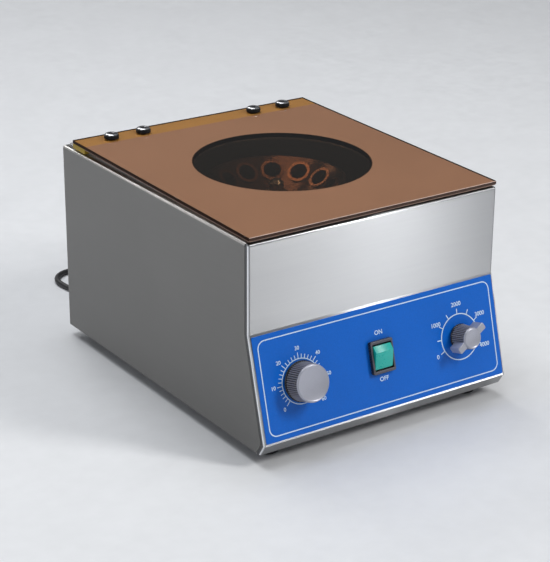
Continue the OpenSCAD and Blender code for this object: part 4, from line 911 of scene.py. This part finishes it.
def make_timer_scale():
    """Minutes from 0 to 60, a tick for each two minutes and a longer one for each ten."""
    place = ink_place(*TIMER)
    marks = [ring_mark(20.6, 0.8)]
    ticks_a_number = 5
    for i in range(31):
        end = 24.6 if i % ticks_a_number else 26.2
        marks.append(tick_mark(TIMER_START - i * TIMER_TICK, 21.0, end, 0.7))
    for i in range(7):
        angle = TIMER_START - i * ticks_a_number * TIMER_TICK
        marks.append(number_mark(str(i * 10), angle, 30.2, SMALL_DIGIT))
    add_piece("timer_scale", [(m, place, 0) for m in marks], "housing", ["white_ink"])


def make_speed_scale():
    """Turns a minute from 0 to 4000, a tick for each five hundred."""
    place = ink_place(*SPEED)
    marks = [ring_mark(21.9, 1.0)]
    for i in range(9):
        marks.append(tick_mark(SPEED_START - i * SPEED_TICK, 22.2, 27.0, 0.9))
    for i in range(5):
        angle = SPEED_START - i * 2 * SPEED_TICK
        marks.append(number_mark(str(i * 1000), angle, 31.4, BIG_DIGIT))
    add_piece("speed_scale", [(m, place, 0) for m in marks], "housing", ["white_ink"])


def make_switch_words():
    words = (("ON", 27.9), ("OFF", 71.6))
    marks = [
        (lettering(text, BIG_DIGIT, 0, 0, INK_T), ink_place(SWITCH[0] + 1, down), 0)
        for text, down in words
    ]
    add_piece("switch_words", marks, "housing", ["white_ink"])


make_border()
make_timer_scale()
make_speed_scale()
make_switch_words()


# Switch and knobs

SWITCH_BEZEL = (25.5, 31)
SWITCH_WELL = (20.9, 24.9)
SWITCH_BOX = (22.2, 28.2)
BEZEL_T = 4.5
BOX_DEPTH = 21
ROCKER_W = 20.2
# Where one of the speed knob's two fins points, in degrees anticlockwise from the right
SPEED_FIN = 210


def make_switch():
    """Bezel with soft edges round a well, on a box that clips into the panel."""
    bezel = flat([rounded_box(*SWITCH_BEZEL, 1.6), rounded_box(*SWITCH_WELL, 0.6)], BEZEL_T, 0.7, 3)
    # Outward faces take the lighter grey as a painted sheen; the walls stay black
    for face in bezel.polygons:
        face.material_index = 1 if face.normal.z > 0.6 else 0
    body = flat([rounded_box(*SWITCH_BOX, 0.5), rounded_box(*SWITCH_WELL, 0.4)], BOX_DEPTH + 0.4, 0.1)
    floor = flat([rounded_box(*SWITCH_BOX, 0.5)], 12, 0.2)
    add_piece("switch_housing", [
        (bezel, on_panel(*SWITCH, PLATE_T), None),
        (body, on_panel(*SWITCH, PLATE_T - BOX_DEPTH), 0),
        (floor, on_panel(*SWITCH, PLATE_T - BOX_DEPTH - 1), 0),
    ], "housing", ["black_gloss", "bezel_grey"], ["switch_body"])


def make_rocker():
    """Rocker with bevelled faces and its trunnions."""
    profile = [
        (-11.1, 3.4), (5.2, 8.0), (11.1, 4.4), (10, -2), (3, -6), (-3, -6), (-10, -2),
    ]
    body = flat([profile], ROCKER_W, 0.8, 1)
    turn = Matrix.Rotation(math.radians(90), 4, "Z") @ Matrix.Rotation(math.radians(90), 4, "X")
    pin = turned([(0, 0), (1, 0), (1, 21.6), (0, 21.6)], 16)
    place = on_panel(*SWITCH, PLATE_T)
    add_piece("rocker_key", [
        (body, place @ Matrix.Translation((-ROCKER_W / 2, 0, 0)) @ turn, 0),
        (pin, place @ Matrix.Translation((-10.8, 0, 0)) @ Matrix.Rotation(math.radians(90), 4, "Y"), 0),
    ], "rocker", ["green"], ["switch_rocker"])


def ribbing(count, first, last, depth):
    """Radius factor for a knob whose points first to last are fluted."""
    def wobble(i, angle):
        if not first <= i <= last:
            return 1
        wave = 0.5 + 0.5 * math.cos(count * angle)
        return 1 - depth * (1 - wave) ** 2
    return wobble


RIB_DEPTH = 0.075
# A face is in a groove, and takes painted shade, where the cosine that shapes the ribs is below this
SHADED_GROOVE_FROM = -0.3
KNOB_LOOKS = ["knob_grey", "cap_silver", "black_gloss", "groove_grey"]


def knob_skin(foot_r, side_r, cap_r, hollow_r, hollow_h, ribs):
    """A moulded knob: black foot flange, made black partly as painted shade at the knob's foot, fluted side
    with painted shade in its grooves, and the silver front with its bevel.
    """
    foot = [
        (3.06, 14.2), (3.06, hollow_h), (hollow_r, hollow_h), (hollow_r, 0), (foot_r - 0.3, 0),
        (foot_r, 0.3), (foot_r, 1.4), (foot_r - 0.3, 1.8), (side_r - 0.6, 1.9),
    ]
    side = [(side_r - 0.6, 1.9), (side_r, 2.4), (cap_r + 0.15, 16.9), (cap_r, 17.3)]
    front = [
        (cap_r, 17.3), (cap_r - 0.15, 17.8), (cap_r - 1.1, 18.75), (cap_r - 1.5, 18.85),
        (cap_r - 1.9, 18.65), (cap_r - 2.2, 18.5), (0, 18.5),
    ]
    steps = ribs * 6
    fluted = turned(side, steps, ribbing(ribs, 1, 2, RIB_DEPTH))
    # Faces in the grooves take painted shade
    for face in fluted.polygons:
        in_shaded_groove = math.cos(ribs * math.atan2(face.center.y, face.center.x)) < SHADED_GROOVE_FROM
        face.material_index = 3 if in_shaded_groove else 0
    return ((fluted, None), (turned(front, steps), 1), (turned(foot, steps), 2))


def make_timer_knob():
    place = on_panel(*TIMER, KNOB_FOOT)
    skin = knob_skin(foot_r=19, side_r=18.2, cap_r=17.4, hollow_r=13, hollow_h=5.5, ribs=54)
    meshes = [(mesh, place, look) for mesh, look in skin]
    add_piece("timer_knob_skin", meshes, "timer_dial", KNOB_LOOKS, ["timer_knob"])


def make_speed_knob():
    place = on_panel(*SPEED, KNOB_FOOT)
    skin = knob_skin(foot_r=12.6, side_r=12.3, cap_r=10.3, hollow_r=8, hollow_h=4, ribs=38)
    meshes = [(mesh, place, look) for mesh, look in skin]
    for turn in (SPEED_FIN, SPEED_FIN + 180):
        fin = flat([[(8.5, -3.4), (17.8, -3.4), (18.8, -2.4), (18.8, 2.4), (17.8, 3.4), (8.5, 3.4)]],
                   13.2, 0.6)
        spot = place @ Matrix.Rotation(math.radians(turn), 4, "Z") @ Matrix.Translation((0, 0, 4.3))
        meshes.append((fin, spot, 1))
    add_piece("speed_knob_skin", meshes, "speed_dial", KNOB_LOOKS, ["speed_knob"])


make_switch()
make_rocker()
make_timer_knob()
make_speed_knob()


# Lid

SHEET_AIR = 0.1
SCREW_HOLE_R = 2.65
BACKING_IN = 0.6
STRIP_W = 24
WINDOW_R = 86
WINDOW_SHADE_RIM = 0.9
# Where the window sits beside the middle of the chamber
WINDOW_SHIFT = (3.2, -5.3)
FILM_T = 0.05
FILM_Z = 2.85
# How far a sight line runs on between the film and the sheet under it
SEEN_SHIFT = 10


def lid_screw_points():
    return [
        (side * HINGE_X + s * HINGE_PITCH / 2, -LID_SCREW_IN) for side in (-1, 1) for s in (-1, 1)
    ]


def edge_look(normal):
    """The look of a face of the acrylic: clear faces, brown front and rear edges, a painted highlight on
    the front top rim, and painted shade on the sides.
    """
    if abs(normal.z) > 0.95:
        return 0
    if abs(normal.x) > abs(normal.y):
        return 2
    return 3 if normal.y < 0 and normal.z > 0.3 else 1


def make_lid_sheet():
    """The acrylic sheet: clear faces, and polished edges that show the depth of its tint, with a painted
    highlight on the front top rim and painted shade on the sides.
    """
    outlines = [rounded_box(lid_w, lid_l, 1.2, 4, 0, -lid_l / 2)]
    outlines += [circle(SCREW_HOLE_R, 24, x, y) for x, y in lid_screw_points()]
    sheet = flat(outlines, LID_T - SHEET_AIR, 0.55, 4)
    for face in sheet.polygons:
        face.material_index = edge_look(face.normal)
    add_piece("lid_sheet", [(sheet, on_lid(0, 0, BACKING_T + SHEET_AIR), None)], "lid",
              ["amber", "amber_edge", "amber_side", "amber_rim"], ["lid_plate"])


def make_lid_backing():
    """The brown sheet under the acrylic and its round window, ringed with a dark rim painted in as the
    shade at the window's cut edge. The acrylic is drawn without refraction, so a film of the same brown
    lies in it at the depth where the sheet is seen."""
    long = lid_l - BACKING_IN - STRIP_W
    outline = rounded_box(lid_w - 2 * BACKING_IN, long, 0.5, 3, 0, -STRIP_W - long / 2)
    x = WINDOW_SHIFT[0]
    y = CHAMBER_Y - (BODY_D - LID_REAR) + WINDOW_SHIFT[1]
    sheet = flat([outline, circle(WINDOW_R + SEEN_SHIFT, 128, x, y)], BACKING_T)
    film = flat([outline, circle(WINDOW_R + WINDOW_SHADE_RIM, 128, x, y)], FILM_T)
    rim = flat([circle(WINDOW_R + WINDOW_SHADE_RIM, 128, x, y), circle(WINDOW_R, 128, x, y)], FILM_T)
    add_piece("backing_sheet", [
        (sheet, on_lid(), 0), (film, on_lid(0, 0, FILM_Z), 0), (rim, on_lid(0, 0, FILM_Z), 1),
    ], "lid", ["backing", "amber_side"], ["lid_backing"])


def make_rear_film():
    """Yellow film over the hinge rail, at the depth where the rail is seen through the acrylic."""
    outlines = [rounded_box(lid_w - 2 * BACKING_IN, STRIP_W - BACKING_IN, 0.3, 2, 0,
                            -(STRIP_W + BACKING_IN) / 2)]
    outlines += [circle(SCREW_HOLE_R, 24, x, y) for x, y in lid_screw_points()]
    film = flat(outlines, FILM_T)
    add_piece("rear_film", [(film, on_lid(0, 0, FILM_Z), 0)], "lid", ["film_ochre"])


def hexagon(points):
    """Radius factor that makes the listed points of a profile six-sided."""
    def wobble(i, angle):
        if i not in points:
            return 1
        sixth = math.radians(60)
        return math.cos(sixth / 2) / math.cos((angle % sixth) - sixth / 2)
    return wobble


def make_lid_screws():
    """Domed chrome screws with a socket painted black as shade, each in a dark cup washer."""
    top = LID_T + BACKING_T
    dome = [
        (2.5, 3.2), (6.3, 3.3), (6.5, 3.8), (6.3, 4.4), (5.7, 4.8), (4.8, 5.0), (4.0, 5.1), (3.2, 5.15),
        (3.0, 5.0), (2.9, 4.7),
    ]
    socket = [(2.9, 4.7), (2.9, 3.6), (0, 3.4)]
    shank = [(0, -6.6), (2.5, -6.6), (2.5, 3.3), (0, 3.3)]
    washer = [
        (2.7, 0.02), (7.2, 0.02), (7.5, 0.4), (7.4, 2.9), (7.1, 3.6), (6.8, 3.7), (6.6, 3.2), (2.7, 3.2),
        (2.7, 0.02),
    ]
    heads = []
    washers = []
    for x, y in lid_screw_points():
        place = on_lid(x, y, top)
        heads.append((turned(dome, 48, hexagon((8, 9))), place, 0))
        # The socket is painted black: painted shade in the recess of a chrome screw
        heads.append((turned(socket, 48, hexagon((0, 1))), place, 1))
        heads.append((turned(shank, 24), place, 0))
        washers.append((turned(washer, 48), place, 0))
    add_piece("lid_screw_heads", heads, "lid", ["chrome", "black_matte"], ["lid_screws"])
    add_piece("lid_washers", washers, "lid", ["washer_black"])


make_lid_sheet()
make_lid_backing()
make_rear_film()
make_lid_screws()


# Floor, world and lamps

FLOOR_HALF = 40
# The lamps light the floor near the object; further off it glows as bright as that
GLOW_FROM = 1.6
GLOW_FULL = 5.0
GLOW = 0.6


def make_floor():
    bm = bmesh.new()
    bmesh.ops.create_grid(bm, x_segments=6, y_segments=6, size=FLOOR_HALF)
    mesh = bpy.data.meshes.new("floor")
    bm.to_mesh(mesh)
    bm.free()
    surface = grained("floor", (0.7, 0.71, 0.73), 0.5, scale=60, spread=0.02, relief=0.02)
    reach = surface.add("VectorMath", {"operation": "LENGTH"}, {0: surface.place()}).outputs["Value"]
    surface.set(
        Emission_Color=(0.96, 0.97, 1),
        Emission_Strength=surface.span(reach, 0.0, GLOW, GLOW_FROM, GLOW_FULL),
    )
    mesh.materials.append(surface.material)
    floor = bpy.data.objects.new("floor", mesh)
    bpy.context.scene.collection.objects.link(floor)


# Brightness of the surroundings by height: pale low down, dark where the lid mirrors them, pale overhead
SKY = ((0.0, 0.72), (0.05, 0.36), (0.14, 0.2), (0.25, 0.09), (0.46, 0.09), (0.75, 0.3), (1.0, 0.4))


def make_world():
    world = bpy.data.worlds.new("studio")
    world.use_nodes = True
    tree = world.node_tree
    coordinates = tree.nodes.new("ShaderNodeTexCoord")
    split = tree.nodes.new("ShaderNodeSeparateXYZ")
    ramp = tree.nodes.new("ShaderNodeValToRGB")
    tree.links.new(coordinates.outputs["Generated"], split.inputs["Vector"])
    tree.links.new(split.outputs["Z"], ramp.inputs["Fac"])
    tree.links.new(ramp.outputs["Color"], tree.nodes["Background"].inputs["Color"])
    elements = ramp.color_ramp.elements
    while len(elements) < len(SKY):
        elements.new(0.5)
    for element, (height, level) in zip(elements, SKY):
        element.position = height
        element.color = (0.95 * level, 0.97 * level, level, 1)
    bpy.context.scene.world = world


def add_lamp(name, place, target, size, power, colour=(1, 1, 1), only=()):
    """A soft lamp that lights and shines in what is polished, but isn't seen itself. It lights
    everything, or only the named objects."""
    data = bpy.data.lights.new(name, "AREA")
    data.shape = "RECTANGLE"
    data.size, data.size_y = size
    data.energy = power
    data.color = colour
    lamp = bpy.data.objects.new(name, data)
    lamp.location = place
    lamp.visible_camera = False
    lamp.rotation_euler = (Vector(target) - Vector(place)).to_track_quat("-Z", "Y").to_euler()
    bpy.context.scene.collection.objects.link(lamp)
    if only:
        lit = bpy.data.collections.new("lit_by_" + name)
        for lit_name in only:
            lit.objects.link(bpy.data.objects[lit_name])
        lamp.light_linking.receiver_collection = lit


def make_lights():
    middle = (0, 0, 0.1)
    add_lamp("key", (1.3, -1.7, 1.9), middle, (0.5, 1.1), 38, (1, 0.985, 0.96))
    add_lamp("front_strip", (1.56, -2.27, 0.8), (0, -0.19, 0.1), (0.18, 1.5), 10, (0.98, 0.99, 1),
             only=(nodes["front_panel"].name, "front_corner_welds"))
    add_lamp("rear_strip", (-1.7, 1.93, 0.6), (-0.14, 0, 0.1), (0.2, 1.0), 1.5, (1, 0.98, 0.95),
             only=(nodes["left_side_panel"].name,))
    add_lamp("top", (-0.2, 0.5, 2.4), middle, (1.6, 1.6), 34, (0.96, 0.98, 1))
    add_lamp("fill", (-2.2, -0.8, 1.1), middle, (0.8, 1.0), 5, (0.95, 0.97, 1))
    add_lamp("back", (0, 2.1, 1.9), middle, (1.4, 0.8), 14)


make_floor()
make_world()
make_lights()
bpy.context.scene.view_settings.view_transform = "Standard"
